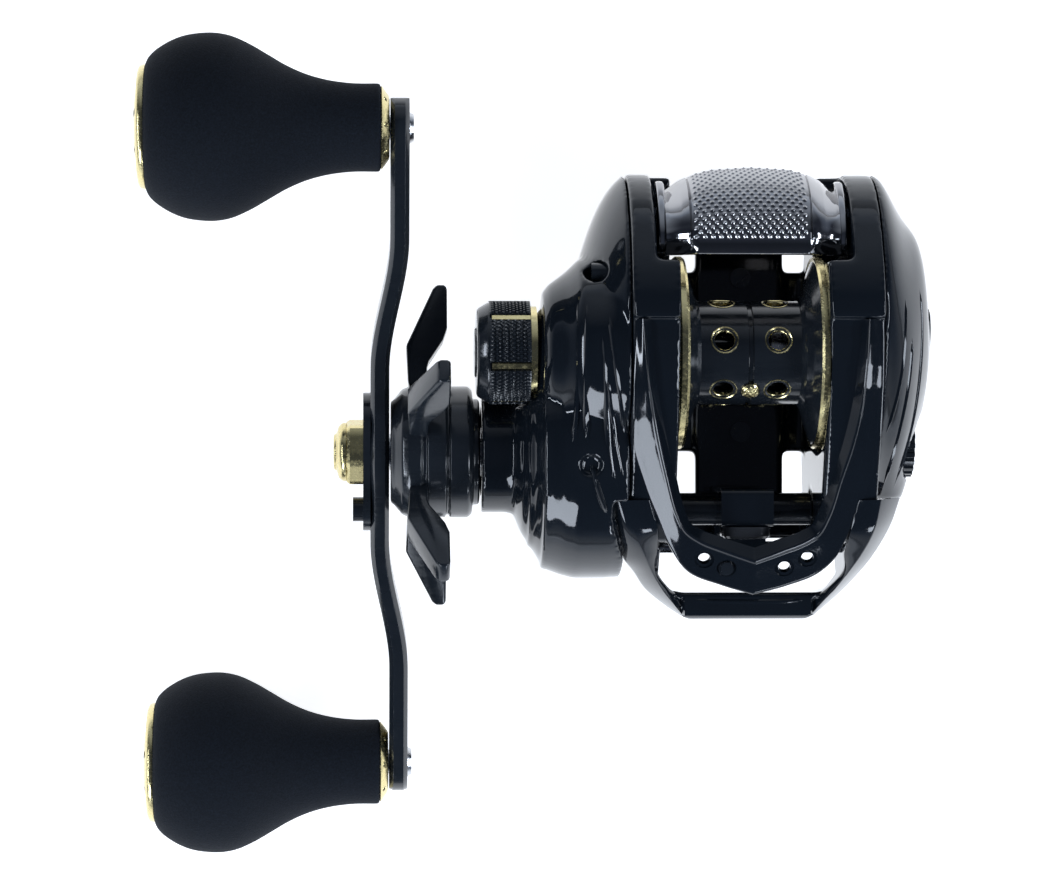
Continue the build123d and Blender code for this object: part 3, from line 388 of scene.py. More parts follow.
def ball_mesh(centre, radius, rings=9, columns=12):
    """A sphere with its poles along X."""
    verts = []
    for i in range(rings):
        for j in range(columns):
            polar, turn = math.pi * i / (rings - 1), 2 * math.pi * j / columns
            verts.append((centre[0] + radius * math.cos(polar),
                          centre[1] + radius * math.sin(polar) * math.cos(turn),
                          centre[2] + radius * math.sin(polar) * math.sin(turn)))
    return verts, grid_faces(rings, columns, close_columns=True)


def cut_away(obj, verts, faces):
    """Cut a closed shape, in millimetres, out of obj."""
    tool = piece("tool", verts, faces, None, "steel")    # its slot doesn't show: obj keeps its own
    modifier = obj.modifiers.new("cut", "BOOLEAN")
    modifier.object = tool
    modifier.operation = "DIFFERENCE"
    modifier.solver = "EXACT"
    bake(obj)
    bpy.data.objects.remove(tool)


# ------------------------ handle knobs
GRIP_SHAPE = [  # (distance from the outer end, radius)
    (0.0, 10.6), (1.1, 11.9), (3.0, 13.3), (6.0, 14.65), (9.0, 15.15), (11.0, 15.2), (13.5, 14.8),
    (16.5, 13.55), (19.5, 11.85), (22.5, 10.1), (25.5, 8.75), (29.0, 7.75), (33.0, 7.2), (37.9, 7.15),
]
CAP_DISH = [  # (distance outwards from the grip's end, radius): a shallow dish with a raised rim and a boss
    (-0.9, 9.6), (0.2, 10.15), (0.9, 9.95), (1.25, 9.3), (1.35, 8.4), (1.05, 8.0), (1.45, 6.8), (1.75, 5.0),
    (1.8, 3.4), (1.3, 3.1), (1.3, 0.0),
]
CAP_HEIGHT = 1.8
CAP_SLOTS, FIRST_CAP_SLOT = 6, 0.3              # slots in the dish, and the first one's angle
CAP_SLOT, CAP_SLOT_CUT = (0.55, 5.2, 7.3), 1.6  # half width, nearest and farthest from the middle; thickness
COLLAR_LINE = [(0.0, 2.1), (0.0, 6.6), (0.2, 6.85), (1.35, 5.2), (1.45, 4.9), (1.45, 2.1)]
COLLAR_DIMPLES, DIMPLE_X, DIMPLE_PLACE_R, DIMPLE_R = 8, 0.85, 6.05, 0.45


def foam_knob(name, centre):
    """A turned foam grip with a domed gold cap at one end and a drilled gold collar at the other."""
    x0, x1 = span(f"{name}_grip", 0)
    line = [(x0 + p[0], p[1]) for p in curve(GRIP_SHAPE, 60)]
    line = [(x0, 4.0), (x0, 10.2)] + line[1:-1] + [(x1 - 0.25, 7.12), (x1, 6.85), (x1, 4.0)]
    grip = lathe(f"{name}_foam", centre, rounded(line, 0.35, 3), name, "eva_foam", (f"{name}_grip",),
                 segments=128, closed=True, smooth=50)
    # cap: the dish, with slots cut in it
    dish = rounded([(x0 - out, r) for out, r in CAP_DISH], 0.25, 3) + [(x0 - CAP_DISH[0][0], 0.0)]
    cap = lathe(f"{name}_end_cap", centre, dish, name, "gold_anodised", (f"{name}_cap",), smooth=30)
    for k in range(CAP_SLOTS):
        angle = 2 * math.pi * k / CAP_SLOTS + FIRST_CAP_SLOT

        def on_cap(u, v, w, a=angle):
            return (x0 - CAP_HEIGHT + w, centre[0] + v * math.sin(a) + u * math.cos(a),
                    centre[1] + v * math.cos(a) - u * math.sin(a))

        cut_away(cap, *prism_mesh(oblong(*CAP_SLOT), CAP_SLOT_CUT, on_cap))
    finish_look(cap, "gold_anodised", 30)
    # collar: a cone with drilled dimples
    ring = lathe(f"{name}_collar_ring", centre, rounded([(x1 + out, r) for out, r in COLLAR_LINE], 0.12, 2),
                 name, "gold_anodised", (f"{name}_collar",), closed=True, smooth=30)
    for k in range(COLLAR_DIMPLES):
        spot = about(centre, x1 + DIMPLE_X, DIMPLE_PLACE_R, 2 * math.pi * k / COLLAR_DIMPLES)
        cut_away(ring, *ball_mesh(spot, DIMPLE_R))
    finish_look(ring, "gold_anodised", 30)


foam_knob("knob_a", KNOB_A)
foam_knob("knob_b", KNOB_B)

# ------------------------ handle arm
ARM_X0, ARM_X1 = span("handle_arm", 0)          # outer face at the middle, inner face at the ends
ARM_T = 3.1
ARM_STEP = ARM_X1 - ARM_X0 - ARM_T              # how far the ends step in
ARM_HALF = math.hypot(KNOB_A[0] - HANDLE[0], KNOB_A[1] - HANDLE[1])
ARM_TILT = math.atan2(KNOB_A[1] - HANDLE[1], KNOB_A[0] - HANDLE[0])
ARM_END_R = 4.9
ARM_HUB_HALF, ARM_WAIST, ARM_SWELL = 6.4, 2.2, 0.7  # half width at the hub, less further out, more at the end
ARM_CHAMFER, ARM_CHAMFER_X = 0.95, 0.7          # across the arm, and through its thickness
BEND_START, BEND_LENGTH = 14.7, 22.0            # of the S-bend, along the arm


def arm_point(s, v, x):
    """s along the arm towards knob a, v across it, x as it is."""
    return (x, HANDLE[0] + s * math.cos(ARM_TILT) - v * math.sin(ARM_TILT),
            HANDLE[1] + s * math.sin(ARM_TILT) + v * math.cos(ARM_TILT))


def smoothstep(t):
    """0 below 0, 1 above 1, and a soft step between."""
    t = min(max(t, 0.0), 1.0)
    return t * t * (3 - 2 * t)


def arm_sections():
    """An eight-sided section carried along the arm: flat faces, chamfered edges, S-bend, round ends."""
    rows = []
    tip = ARM_HALF + ARM_END_R
    stations = sorted({round(tip * math.sin(math.pi / 2 * k / 60), 4) for k in range(-60, 61)})
    for s in stations:
        a = abs(s)
        middle = ARM_X0 + ARM_T / 2 + ARM_STEP * smoothstep((a - BEND_START) / BEND_LENGTH)
        half = ARM_HUB_HALF - ARM_WAIST * smoothstep(a / 16.0) + ARM_SWELL * smoothstep((a - 26) / 26.0)
        if a > ARM_HALF:
            half = ARM_END_R * math.sqrt(max(1 - ((a - ARM_HALF) / ARM_END_R) ** 2, 0.0004))
        cut = min(ARM_CHAMFER, half * 0.6)
        t = ARM_T / 2
        inset = ARM_CHAMFER_X * min(1.0, half)
        ring = [(-half, -t + inset), (-half + cut, -t), (half - cut, -t), (half, -t + inset),
                (half, t - inset), (half - cut, t), (-half + cut, t), (-half, t - inset)]
        rows.append([arm_point(s, v, middle + x) for v, x in ring])
    return [p for row in rows for p in row], tube_faces(len(rows), 8)


piece("crank_arm", *arm_sections(), "handle", "black_anodised", ("handle_arm",),
      smooth=40, bevel=0.24, segments=3)

# nut: hexagon with chamfered corners, a stepped dome and a small socket
NUT_X0, NUT_X1 = span("handle_nut", 0)
NUT_FLAT_R, NUT_CORNER_R, NUT_POINTS = 5.0, 5.55, 48
nut_verts = []
for x, scale in ((NUT_X1, 1.0), (NUT_X1 - 2.2, 1.0), (NUT_X1 - 2.75, 0.93)):
    for k in range(NUT_POINTS):
        angle = 2 * math.pi * k / NUT_POINTS
        from_flat = (angle + ARM_TILT) % (math.pi / 3) - math.pi / 6
        nut_verts.append(about(HANDLE, x, min(NUT_FLAT_R / math.cos(from_flat), NUT_CORNER_R) * scale, angle))
hexagon = (nut_verts, tube_faces(3, NUT_POINTS))
dome_line = rounded([(NUT_X1 - 2.7, 0.0), (NUT_X1 - 2.7, 4.9), (NUT_X0 + 1.5, 4.85), (NUT_X0 + 0.9, 4.3),
                     (NUT_X0 + 0.55, 3.1), (NUT_X0 + 0.1, 2.9), (NUT_X0, 2.3), (NUT_X0 + 0.5, 1.6),
                     (NUT_X0 + 0.5, 0.0)], 0.3, 3)
piece("crank_nut", *join_meshes(hexagon, lathe_mesh(HANDLE, dome_line)), "handle", "gold_anodised",
      ("handle_nut",), smooth=28)

# ------------------------ star drag
STAR_X0 = span("star_wheel", 0)[0]
STAR_PADDLE = [  # (distance from the wheel's outer end, radius)
    (3.35, 9.6), (2.9, 11.5), (2.6, 17.6), (7.05, 27.3), (7.75, 28.0), (9.05, 28.0), (9.45, 27.4),
    (9.45, 20.6), (8.75, 18.6), (6.35, 14.9), (6.05, 13.8), (6.05, 9.6),
]
STAR_HUB = [
    (0.0, 3.1), (0.0, 8.3), (0.65, 8.9), (1.85, 10.4), (3.05, 10.9), (4.95, 10.9), (5.15, 10.5),
    (5.85, 10.5), (6.05, 10.9), (9.05, 10.9), (9.2, 10.45), (9.6, 10.45), (9.75, 10.9), (12.75, 10.9),
    (13.45, 10.3), (13.55, 8.8), (14.35, 8.8), (14.65, 8.5), (14.65, 3.1),
]
PADDLES = 5
FIRST_PADDLE = math.radians(28)
ROOT_HALF, TIP_HALF = 2.65, 2.0                 # half a paddle's thickness at its root and tip


def paddle_mesh(angle):
    """One paddle of the star: thick at the root, thinner at the tip."""
    verts = []
    for side in (-1, 1):
        for x, r in STAR_PADDLE:
            reach = side * (ROOT_HALF - (ROOT_HALF - TIP_HALF) * smoothstep((r - 12) / 14))
            y = r * math.sin(angle) + reach * math.cos(angle)
            z = r * math.cos(angle) - reach * math.sin(angle)
            verts.append((STAR_X0 + x, HANDLE[0] + y, HANDLE[1] + z))
    return verts, prism_faces(len(STAR_PADDLE))


hub_line = rounded([(STAR_X0 + x, r) for x, r in STAR_HUB], 0.3, 4)
lathe("star_hub", HANDLE, hub_line, "star", "black_anodised", ("star_wheel",), segments=120, closed=True,
      smooth=60)
for k in range(PADDLES):
    paddle = paddle_mesh(FIRST_PADDLE + 2 * math.pi * k / PADDLES)
    piece(f"star_paddle_{k + 1}", *paddle, "star", "black_anodised", smooth=40, bevel=0.55, segments=3)

# ------------------------ tension knob
KNOB_X0, KNOB_X1 = span("tension_knob", 0)
KNOB_R = span("tension_knob", 1)[1] - SPOOL[0]
CAP_LINE = [  # (distance from the outer end, radius)
    (0.35, 0.0), (0.0, 0.4), (0.0, 3.9), (0.35, 4.2), (0.35, 6.9), (0.6, 7.3), (2.1, 8.15), (2.35, 8.15),
    (2.35, 8.35),
]
KNURL = 76                       # diamonds around the barrel
KNURL_STEPS = 6                  # points across a diamond
KNURL_DEPTH, KNURL_LEAN = 0.28, 0.62
GOLD_SLOTS = 6
FIRST_SLOT = math.radians(-17)
SLOT_HALF, SLOT_DEPTH = 0.75, 0.62
BAR_START = 2.7                  # how far from the knob's outer end a gold bar starts
BAR_HALF, BAR_TOP_HALF, BAR_SINK = 0.62, 0.45, 0.28   # half widths at its foot and top; top below the barrel
CREST = 0.04


def knurl_mesh(x0, x1, radius, depth, rows=42):
    """A barrel with raised diamonds between plain ends and a groove for each gold bar, open inside."""
    columns = KNURL * KNURL_STEPS
    slot_pitch = 2 * math.pi / GOLD_SLOTS
    diamond = 2 * math.pi * radius / KNURL
    verts = []
    for i in range(rows):
        x = x0 + (x1 - x0) * i / (rows - 1)
        edge = min(1.0, 12 * min(i, rows - 1 - i) / (rows - 1))
        for j in range(columns):
            u = j / KNURL_STEPS
            v = (x - x0) / diamond * KNURL_LEAN
            wave = max(abs(((u + v) % 1) - 0.5), abs(((u - v) % 1) - 0.5)) * 2
            from_slot = (2 * math.pi * j / columns - FIRST_SLOT) % slot_pitch
            in_slot = min(from_slot, slot_pitch - from_slot) * radius < SLOT_HALF
            r = radius - (SLOT_DEPTH if in_slot else depth * edge * smoothstep((wave - 0.55) / 0.4))
            verts.append(about(SPOOL, x, r, 2 * math.pi * j / columns))
    return verts, grid_faces(rows, columns, close_columns=True)


def gold_bar_mesh(angle, rows=25):
    """A gold bar lying in a groove, with a row of shallow crests."""
    start, foot = KNOB_X0 + BAR_START, KNOB_R - SLOT_DEPTH
    verts = []
    for n in range(rows):
        top = KNOB_R - BAR_SINK + CREST * abs(math.sin(n * math.pi / 3))
        section = ((-BAR_HALF, foot), (-BAR_TOP_HALF, top), (BAR_TOP_HALF, top), (BAR_HALF, foot),
                   (0.0, foot - 0.08))
        x = start + n * (KNOB_X1 - start) / (rows - 1)
        verts += [about(SPOOL, x, r, angle + across / KNOB_R) for across, r in section]
    return verts, tube_faces(rows, len(section))


cap_line = rounded([(KNOB_X0 + x, r) for x, r in CAP_LINE], 0.15, 2)
barrel = knurl_mesh(KNOB_X0 + CAP_LINE[-1][0], KNOB_X1, KNOB_R, KNURL_DEPTH)
inside_line = [(KNOB_X1, KNOB_R), (KNOB_X1, 5.7), (KNOB_X0 + 2.6, 5.7), (KNOB_X0 + 2.6, 0.0)]
inside = lathe_mesh(SPOOL, inside_line, KNURL)
piece("knurled_knob", *join_meshes(lathe_mesh(SPOOL, cap_line, 96), barrel, inside), "tension_knob",
      "black_anodised", ("tension_knob",), smooth=40)
gold_bars = [gold_bar_mesh(FIRST_SLOT + 2 * math.pi * k / GOLD_SLOTS) for k in range(GOLD_SLOTS)]
piece("knob_gold_bars", *join_meshes(*gold_bars), "tension_knob", "gold_anodised", smooth=40)


# ------------------------ surfaces to follow
ABOVE = 0.08                     # over everything, metres


def surface_tree(obj):
    """A tree of an object's faces, for dropping points on them."""
    mesh = obj.data
    return BVHTree.FromPolygons([v.co for v in mesh.vertices], [tuple(p.vertices) for p in mesh.polygons])


def drop(surface, x, y):
    """The place where a line straight down at x, y first meets a surface, in metres, and its normal."""
    at, normal, _, _ = surface.ray_cast(Vector((x, y, ABOVE)), Vector((0, 0, -1)))
    return at, normal


RIB_DEPTH = 1.4                  # how far a rib's foot reaches below the surface
RIB_SECTION = ((-1.0, -RIB_DEPTH), (-1.0, -0.02), (-0.45, 0.62), (0.0, 1.0), (0.45, 0.62), (1.0, -0.02),
               (1.0, -RIB_DEPTH))


def rib_mesh(points, surface, width, height, count=60):
    """A raised rib along an (x, y) line dropped from above on a surface; pointed at both ends."""
    hits = []
    for x, y in curve(points, count):
        at, normal = drop(surface, x * MM, y * MM)
        if at is not None:
            hits.append((at / MM, normal if normal.z > 0 else -normal))
    for _ in range(60):          # an even sweep over the facets below
        hits = ([hits[0]] + [((a[0] + b[0] * 2 + c[0]) / 4, (a[1] + b[1] + c[1]).normalized())
                             for a, b, c in zip(hits, hits[1:], hits[2:])] + [hits[-1]])
    verts = []
    for k, (at, normal) in enumerate(hits):
        ahead, behind = hits[min(k + 1, len(hits) - 1)][0], hits[max(k - 1, 0)][0]
        across = (ahead - behind).normalized().cross(normal).normalized()
        taper = smoothstep(min(k, len(hits) - 1 - k) / 8)
        for u, v in RIB_SECTION:
            up = v * height * taper if v > 0 else v
            verts.append(tuple(at + across * (u * width * (0.35 + 0.65 * taper)) + normal * up))
    return verts, tube_faces(len(hits), len(RIB_SECTION))


def cap_heights(obj, cap, under=0.2):
    """Push an object's points down until they lie under a cap surface, and smooth them."""
    moved = []
    for v in obj.data.vertices:
        at, _ = drop(cap, v.co.x, v.co.y)
        if at is not None and v.co.z > at.z - under * MM:
            v.co.z = at.z - under * MM
            moved.append(v.index)
    obj.vertex_groups.new(name="capped").add(moved, 1.0, "REPLACE")
    melt(obj, 5, "capped")


def melt(obj, steps, group=""):
    """Smooth an object, or only its points in a vertex group."""
    modifier = obj.modifiers.new("melt", "SMOOTH")
    modifier.factor = 0.5
    modifier.iterations = steps
    modifier.vertex_group = group
    bake(obj)


def add_meshes(obj, *meshes):
    """Join more closed shapes, in millimetres, to a finished piece."""
    grown = bmesh.new()
    for verts, faces in meshes:
        made = [grown.verts.new(Vector(v) * MM) for v in verts]
        for face in faces:
            grown.faces.new([made[i] for i in face]).smooth = True
    bmesh.ops.recalc_face_normals(grown, faces=grown.faces)
    grown.from_mesh(obj.data)
    grown.to_mesh(obj.data)
    grown.free()


def mesh_of(obj):
    """An object's vertices, in millimetres, and its faces."""
    return [tuple(v.co / MM) for v in obj.data.vertices], [tuple(p.vertices) for p in obj.data.polygons]


def shell(name, node, body, slot, extras=(), cuts=(), voxel=0.34, relax=9, cap=None, ribs=(), skins=(),
          limits=None, soften=None):
    """A CAD node's shape with added parts and cuts, its edges rounded as a lacquered casting's are.

    extras and cuts are closed meshes; soften (x0, x1, y0, y1, z0, steps) is a region smoothed much
    more, cap a surface it stays under, limits(y) the x range it stays in; ribs (line, width, height)
    and skins (meshes) are laid on at the end."""
    obj = piece(name, *mesh_of(frame["nodes"][node]), body, slot, (node,))
    for cut in cuts:
        cut_away(obj, *cut)
    add_meshes(obj, *extras)
    remesh = obj.modifiers.new("remesh", "REMESH")
    remesh.mode = "VOXEL"
    remesh.voxel_size = voxel * MM
    bake(obj)
    melt(obj, relax)
    if soften:
        x0, x1, y0, y1, z0, steps = soften
        group = obj.vertex_groups.new(name="soft")
        for v in obj.data.vertices:
            x, y, z = v.co / MM
            weight = (smoothstep((x - x0) / 1.5) * smoothstep((x1 - x) / 1.5) * smoothstep((y - y0) / 4)
                      * smoothstep((y1 - y) / 4) * smoothstep((z - z0) / 3))
            group.add([v.index], weight, "REPLACE")
        melt(obj, steps, "soft")
    lowest = span(node, 2)[0] * MM
    for v in obj.data.vertices:
        v.co.z = max(v.co.z, lowest)
        if limits:
            x_low, x_high = limits(v.co.y / MM)
            v.co.x = min(max(v.co.x, x_low * MM), x_high * MM)
    if cap:
        cap_heights(obj, cap)
    finished = surface_tree(obj)
    add_meshes(obj, *[rib_mesh(line, finished, width, height) for line, width, height in ribs], *skins)
    finish_look(obj, slot, 50)


def round_cut(centre, direction, radius, depth, flare=0.0, count=32):
    """A closed cylinder sunk from a point along a direction, wider at the mouth by flare."""
    d = Vector(direction).normalized()
    u = d.orthogonal().normalized()
    w = d.cross(u)
    rows = []
    for along, r in ((-6.0, radius + flare), (0.0, radius + flare), (depth * 0.45, radius), (depth, radius)):
        for k in range(count):
            a = 2 * math.pi * k / count
            rows.append(tuple(Vector(centre) + d * along + (u * math.cos(a) + w * math.sin(a)) * r))
    return rows, tube_faces(4, count)


# ------------------------ thumb bar
THUMB_X0, THUMB_X1 = span("thumb_bar", 0)
THUMB_MID = (THUMB_X0 + THUMB_X1) / 2
PAD_X = (THUMB_MID - 10.0, THUMB_MID + 8.9)
EAR_T = 1.35
BUMP_PITCH, BUMP_ROW, BUMP_R, BUMP_H = 1.3, 0.76, 0.46, 0.22
PAD_LINE = [  # (y, z) of the top, from the front edge to the rear edge
    (17.8, 43.45), (18.6, 43.5), (20.6, 43.15), (22.9, 42.45), (23.5, 42.15), (25.5, 40.8), (27.6, 38.6),
    (29.2, 36.0), (30.05, 33.9),
]
THUMB_UNDER = [(29.9, 33.3), (29.3, 33.2), (26.8, 36.9), (22.6, 40.0), (18.4, 41.3), (15.7, 41.2),
               (15.45, 41.5), (15.45, 42.3), (15.75, 42.65)]
PAD_FRONT, PAD_REAR = PAD_LINE[0][0], PAD_LINE[-1][0]
SIDE_DROP, DROP_START, DROP_WIDTH = 2.3, 8.6, 5.6  # how far its sides hang, and where they bend down
FACET_LIFT, GROOVE_DEPTH, GROOVE_HALF = 0.12, 0.32, 0.22
FIRST_BUMP_X, FIRST_BUMP_ROW = 0.6, 0.55
REAR_EDGE = [(-15.0, 25.8), (-13.6, 26.4), (-11.5, 27.9), (-9.4, 28.8), (-6.5, 29.6), (0.0, 30.05),
             (6.5, 29.7), (9.4, 28.9), (11.5, 28.0), (13.6, 26.4), (15.0, 25.8)]


def bump_lift(x, along):
    """Height of the pad's round bumps at an x and a length along the pad."""
    place = (along - FIRST_BUMP_ROW) / BUMP_ROW
    lift = 0.0
    for row in (math.floor(place), math.ceil(place)):
        half_step = 0.5 * (row % 2)
        column = (x - PAD_X[0] - FIRST_BUMP_X) / BUMP_PITCH - half_step
        centre = (round(column) + half_step) * BUMP_PITCH + FIRST_BUMP_X
        d = math.hypot((column - round(column)) * BUMP_PITCH, (place - row) * BUMP_ROW)
        if 0.5 <= centre <= PAD_X[1] - PAD_X[0] - 0.5 and row >= 0 and d < BUMP_R:
            lift = max(lift, BUMP_H * (0.5 + 0.5 * math.cos(math.pi * d / BUMP_R)))
    return lift


def thumb_mesh():
    """The paddle: a textured pad between two plain facets, bent down towards the back."""
    top = curve(PAD_LINE, 190)
    length = np.concatenate([[0], np.cumsum(np.linalg.norm(np.diff(top, axis=0), axis=1))])
    slope = np.gradient(top, length, axis=0)
    rear_x, rear_y = zip(*REAR_EDGE)
    x_left, x_right = THUMB_X0 + EAR_T - 0.15, THUMB_X1 - EAR_T + 0.15
    xs = np.concatenate([np.linspace(x_left, PAD_X[0] - 0.55, 26),
                         np.linspace(PAD_X[0] - 0.5, PAD_X[1] + 0.5, 230),
                         np.linspace(PAD_X[1] + 0.55, x_right, 26)])
    verts = []
    for x in xs:
        fall = SIDE_DROP * smoothstep((abs(x - THUMB_MID) - DROP_START) / DROP_WIDTH)
        reach = (np.interp(x - THUMB_MID, rear_x, rear_y) - PAD_FRONT) / (PAD_REAR - PAD_FRONT)
        groove = min(abs(x - PAD_X[0] + 0.25), abs(x - PAD_X[1] - 0.25))
        for k, (y, z) in enumerate(top):
            if PAD_X[0] < x < PAD_X[1]:
                lift = bump_lift(x, length[k])
            else:
                lift = FACET_LIFT - GROOVE_DEPTH * max(0.0, 1 - groove / GROOVE_HALF)
            dy, dz = slope[k] / np.linalg.norm(slope[k])
            lift *= smoothstep(length[k] / 0.35)
            verts.append((x, PAD_FRONT + (y - PAD_FRONT) * reach - dz * lift, z + dy * lift - fall))
        for y, z in THUMB_UNDER:
            verts.append((x, PAD_FRONT + (y - PAD_FRONT) * reach if y > PAD_FRONT else y, z - fall))
    return verts, tube_faces(len(xs), len(top) + len(THUMB_UNDER))


EAR_LINE = [(15.9, 31.05), (15.9, 39.3), (17.2, 40.5), (19.6, 40.3), (22.6, 38.9), (25.6, 36.6), (27.6, 34.0),
            (27.9, 32.4), (27.9, 31.05)]
piece("thumb_paddle", *thumb_mesh(), "thumb_bar", "smoked_chrome", ("thumb_bar",), smooth=45)
for number, x in enumerate((THUMB_X0 + EAR_T / 2, THUMB_X1 - EAR_T / 2)):
    piece(f"thumb_ear_{number + 1}", *prism_mesh(EAR_LINE, EAR_T, lambda u, v, w, x=x: (x + w, u, v)),
          "thumb_bar", "smoked_chrome", smooth=40, bevel=0.4, segments=4)

# springs under the bar's ears, which on the reel shorten as the bar comes down: one still mesh here, riding on no
# body
springs = piece("thumb_coils", *mesh_of(frame["nodes"]["thumb_springs"]), None, "steel", smooth=35)
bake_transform(springs)
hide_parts("thumb_springs")

# ------------------------ front hood
HOOD_CREST = [(5.3, 47.35), (1.4, 47.3), (-2.5, 46.75), (-6.0, 46.0), (-11.0, 44.2), (-15.0, 42.5),
              (-20.0, 40.1), (-25.0, 37.7), (-29.0, 35.7), (-33.0, 33.8), (-36.5, 32.3), (-40.0, 30.9)]
HOOD_LEFT = [  # (inner edge, rim, outer edge), each (x, y), from the back to the front's middle
    ((-17.2, 5.0), (-18.8, 5.0), (-20.3, 5.0)), ((-16.7, -2.5), (-18.1, -2.6), (-20.4, -3.0)),
    ((-15.5, -9.5), (-16.9, -10.0), (-20.3, -10.0)), ((-14.2, -15.0), (-15.8, -15.2), (-19.9, -15.8)),
    ((-13.0, -20.0), (-14.5, -20.3), (-18.3, -20.6)), ((-11.4, -25.5), (-12.7, -26.2), (-15.8, -26.8)),
    ((-10.3, -27.8), (-11.2, -29.0), (-13.5, -31.8)), ((-8.2, -29.0), (-9.0, -30.5), (-10.5, -35.8)),
    ((-4.4, -30.4), (-4.8, -32.2), (-5.0, -38.1)), ((0.3, -31.9), (0.3, -34.0), (0.4, -39.7)),
]
HOOD_RIGHT = [
    ((15.8, 5.0), (17.0, 5.0), (19.7, 5.0)), ((15.3, -3.0), (16.6, -3.4), (19.8, -3.4)),
    ((14.2, -10.5), (15.8, -11.2), (19.8, -10.4)), ((13.2, -15.5), (14.8, -15.8), (19.6, -16.5)),
    ((12.0, -20.2), (13.5, -20.4), (18.6, -21.4)), ((10.4, -26.0), (11.9, -26.6), (16.0, -28.3)),
    ((9.4, -28.2), (10.5, -29.4), (13.2, -34.2)), ((7.8, -29.2), (8.4, -30.8), (11.2, -36.0)),
    ((4.6, -30.4), (5.0, -32.2), (6.0, -38.2)), ((0.3, -31.9), (0.3, -34.0), (0.4, -39.7)),
]
HOOD_SECTION = [  # (-1 inner edge, 0 rim, 1 outer edge; height over the crest line), once round
    (-1.0, -2.9), (-1.0, -1.75), (-0.9, -1.55), (-0.12, -0.22), (-0.04, -0.06), (0.0, 0.0), (0.05, -0.02),
    (0.075, -0.10), (0.10, -0.24), (0.13, -0.30), (0.18, -0.33), (0.40, -0.60), (0.60, -0.86), (0.80, -1.10),
    (0.94, -1.24), (0.985, -1.32), (1.0, -1.5), (1.0, -2.75), (0.6, -2.4), (-0.5, -2.9),
]


def three_lines(stations, count):
    """Smooth lines through the first, second and third point of each station."""
    return zip(*(curve([s[k] for s in stations], count) for k in range(3)))


def crest_height(y):
    """Height of the hood's crest line."""
    ys, zs = zip(*reversed(HOOD_CREST))
    return float(np.interp(y, ys, zs))


def hood_half(stations, count=130):
    """Rows of points across one half of the hood."""
    grid = []
    for inner, rim, outer in three_lines(stations, count):
        row = []
        for f, dz in HOOD_SECTION:
            x, y = rim + (rim - inner) * f if f < 0 else rim + (outer - rim) * f
            row.append((x, y, crest_height(y) + dz))
        grid.append(row)
    return grid


hood_rows = hood_half(HOOD_LEFT) + hood_half(HOOD_RIGHT)[-2::-1]
hood = piece("hood_cover", [p for row in hood_rows for p in row],
             tube_faces(len(hood_rows), len(HOOD_SECTION)), "frame", "black_coat", ("front_hood",))
HOOD_HOLES = [(-7.9, -33.9), (-4.2, -35.3), (5.3, -35.3), (9.0, -33.7)]
HOLE_R, SINK_R = 1.0, 1.6
HOOD_LEAN = (0.0, 0.42, -0.91)           # into the hood, square to its top at the holes
for x, y in HOOD_HOLES:
    for radius, depth in ((SINK_R, 0.5), (HOLE_R, 9.0)):
        cut_away(hood, *round_cut((x, y, crest_height(y) - 0.6), HOOD_LEAN, radius, depth))
finish_look(hood, "black_coat", 38)

# slotted head of the hood's screw, cut off flat in its hole
screw_x, screw_y = HOOD_HOLES[1]
screw = Vector((screw_x, screw_y, crest_height(screw_y) - 1.1))
head = piece("hood_screw_head", *round_cut(screw, HOOD_LEAN, 1.3, 1.2), "frame", "black_anodised")
for v in head.data.vertices:
    depth_in = (v.co / MM - screw).dot(Vector(HOOD_LEAN))
    if depth_in < -3:
        v.co -= Vector(HOOD_LEAN).normalized() * (depth_in + 0.15) * MM


def on_head(u, v, w):
    """A place on the screw's head, which leans with the hood."""
    return screw.x + u, screw.y + v, screw.z + 0.75 + w - 0.46 * v


cut_away(head, *prism_mesh(oblong(0.22, -1.4, 1.4), 2.0, on_head))

# ------------------------ gear cover, frame, palm cover and guard
FENDER_LEFT = [  # (outer edge, ridge, inner edge) of the fender, each (x, y, z), from the seam to the nose
    ((-23.7, -23.9, 36.6), (-21.8, -24.1, 37.9), (-16.9, -24.0, 37.0)),
    ((-22.4, -29.0, 33.6), (-19.8, -28.9, 35.2), (-15.5, -29.0, 34.6)),
    ((-20.8, -33.6, 28.2), (-17.4, -33.4, 31.0), (-15.3, -32.3, 30.6)),
    ((-18.6, -36.3, 22.6), (-16.0, -36.1, 27.8), (-15.1, -35.9, 26.8)),
    ((-15.9, -39.7, 17.5), (-14.1, -39.1, 24.5), (-13.1, -38.6, 23.5)),
    ((-12.6, -42.3, 16.0), (-11.9, -41.7, 21.5), (-11.5, -39.9, 21.2)),
    ((-10.4, -43.8, 16.0), (-10.3, -43.5, 19.0), (-10.1, -41.0, 20.0)),
]
FENDER_RIGHT = [
    ((24.4, -23.8, 32.0), (20.4, -24.0, 37.6), (16.6, -24.1, 37.0)),
    ((23.4, -28.2, 28.5), (19.8, -28.6, 35.0), (15.8, -29.0, 34.6)),
    ((20.5, -34.2, 24.0), (18.0, -33.3, 30.8), (15.4, -32.7, 30.4)),
    ((18.7, -37.0, 20.5), (16.5, -36.0, 27.8), (15.7, -35.8, 26.8)),
    ((16.5, -39.8, 17.5), (14.8, -38.8, 24.5), (13.9, -38.5, 23.5)),
    ((13.8, -42.4, 16.0), (12.8, -41.4, 21.5), (12.4, -40.0, 21.2)),
    ((12.0, -43.9, 16.0), (11.4, -43.4, 19.0), (11.1, -41.0, 20.0)),
]
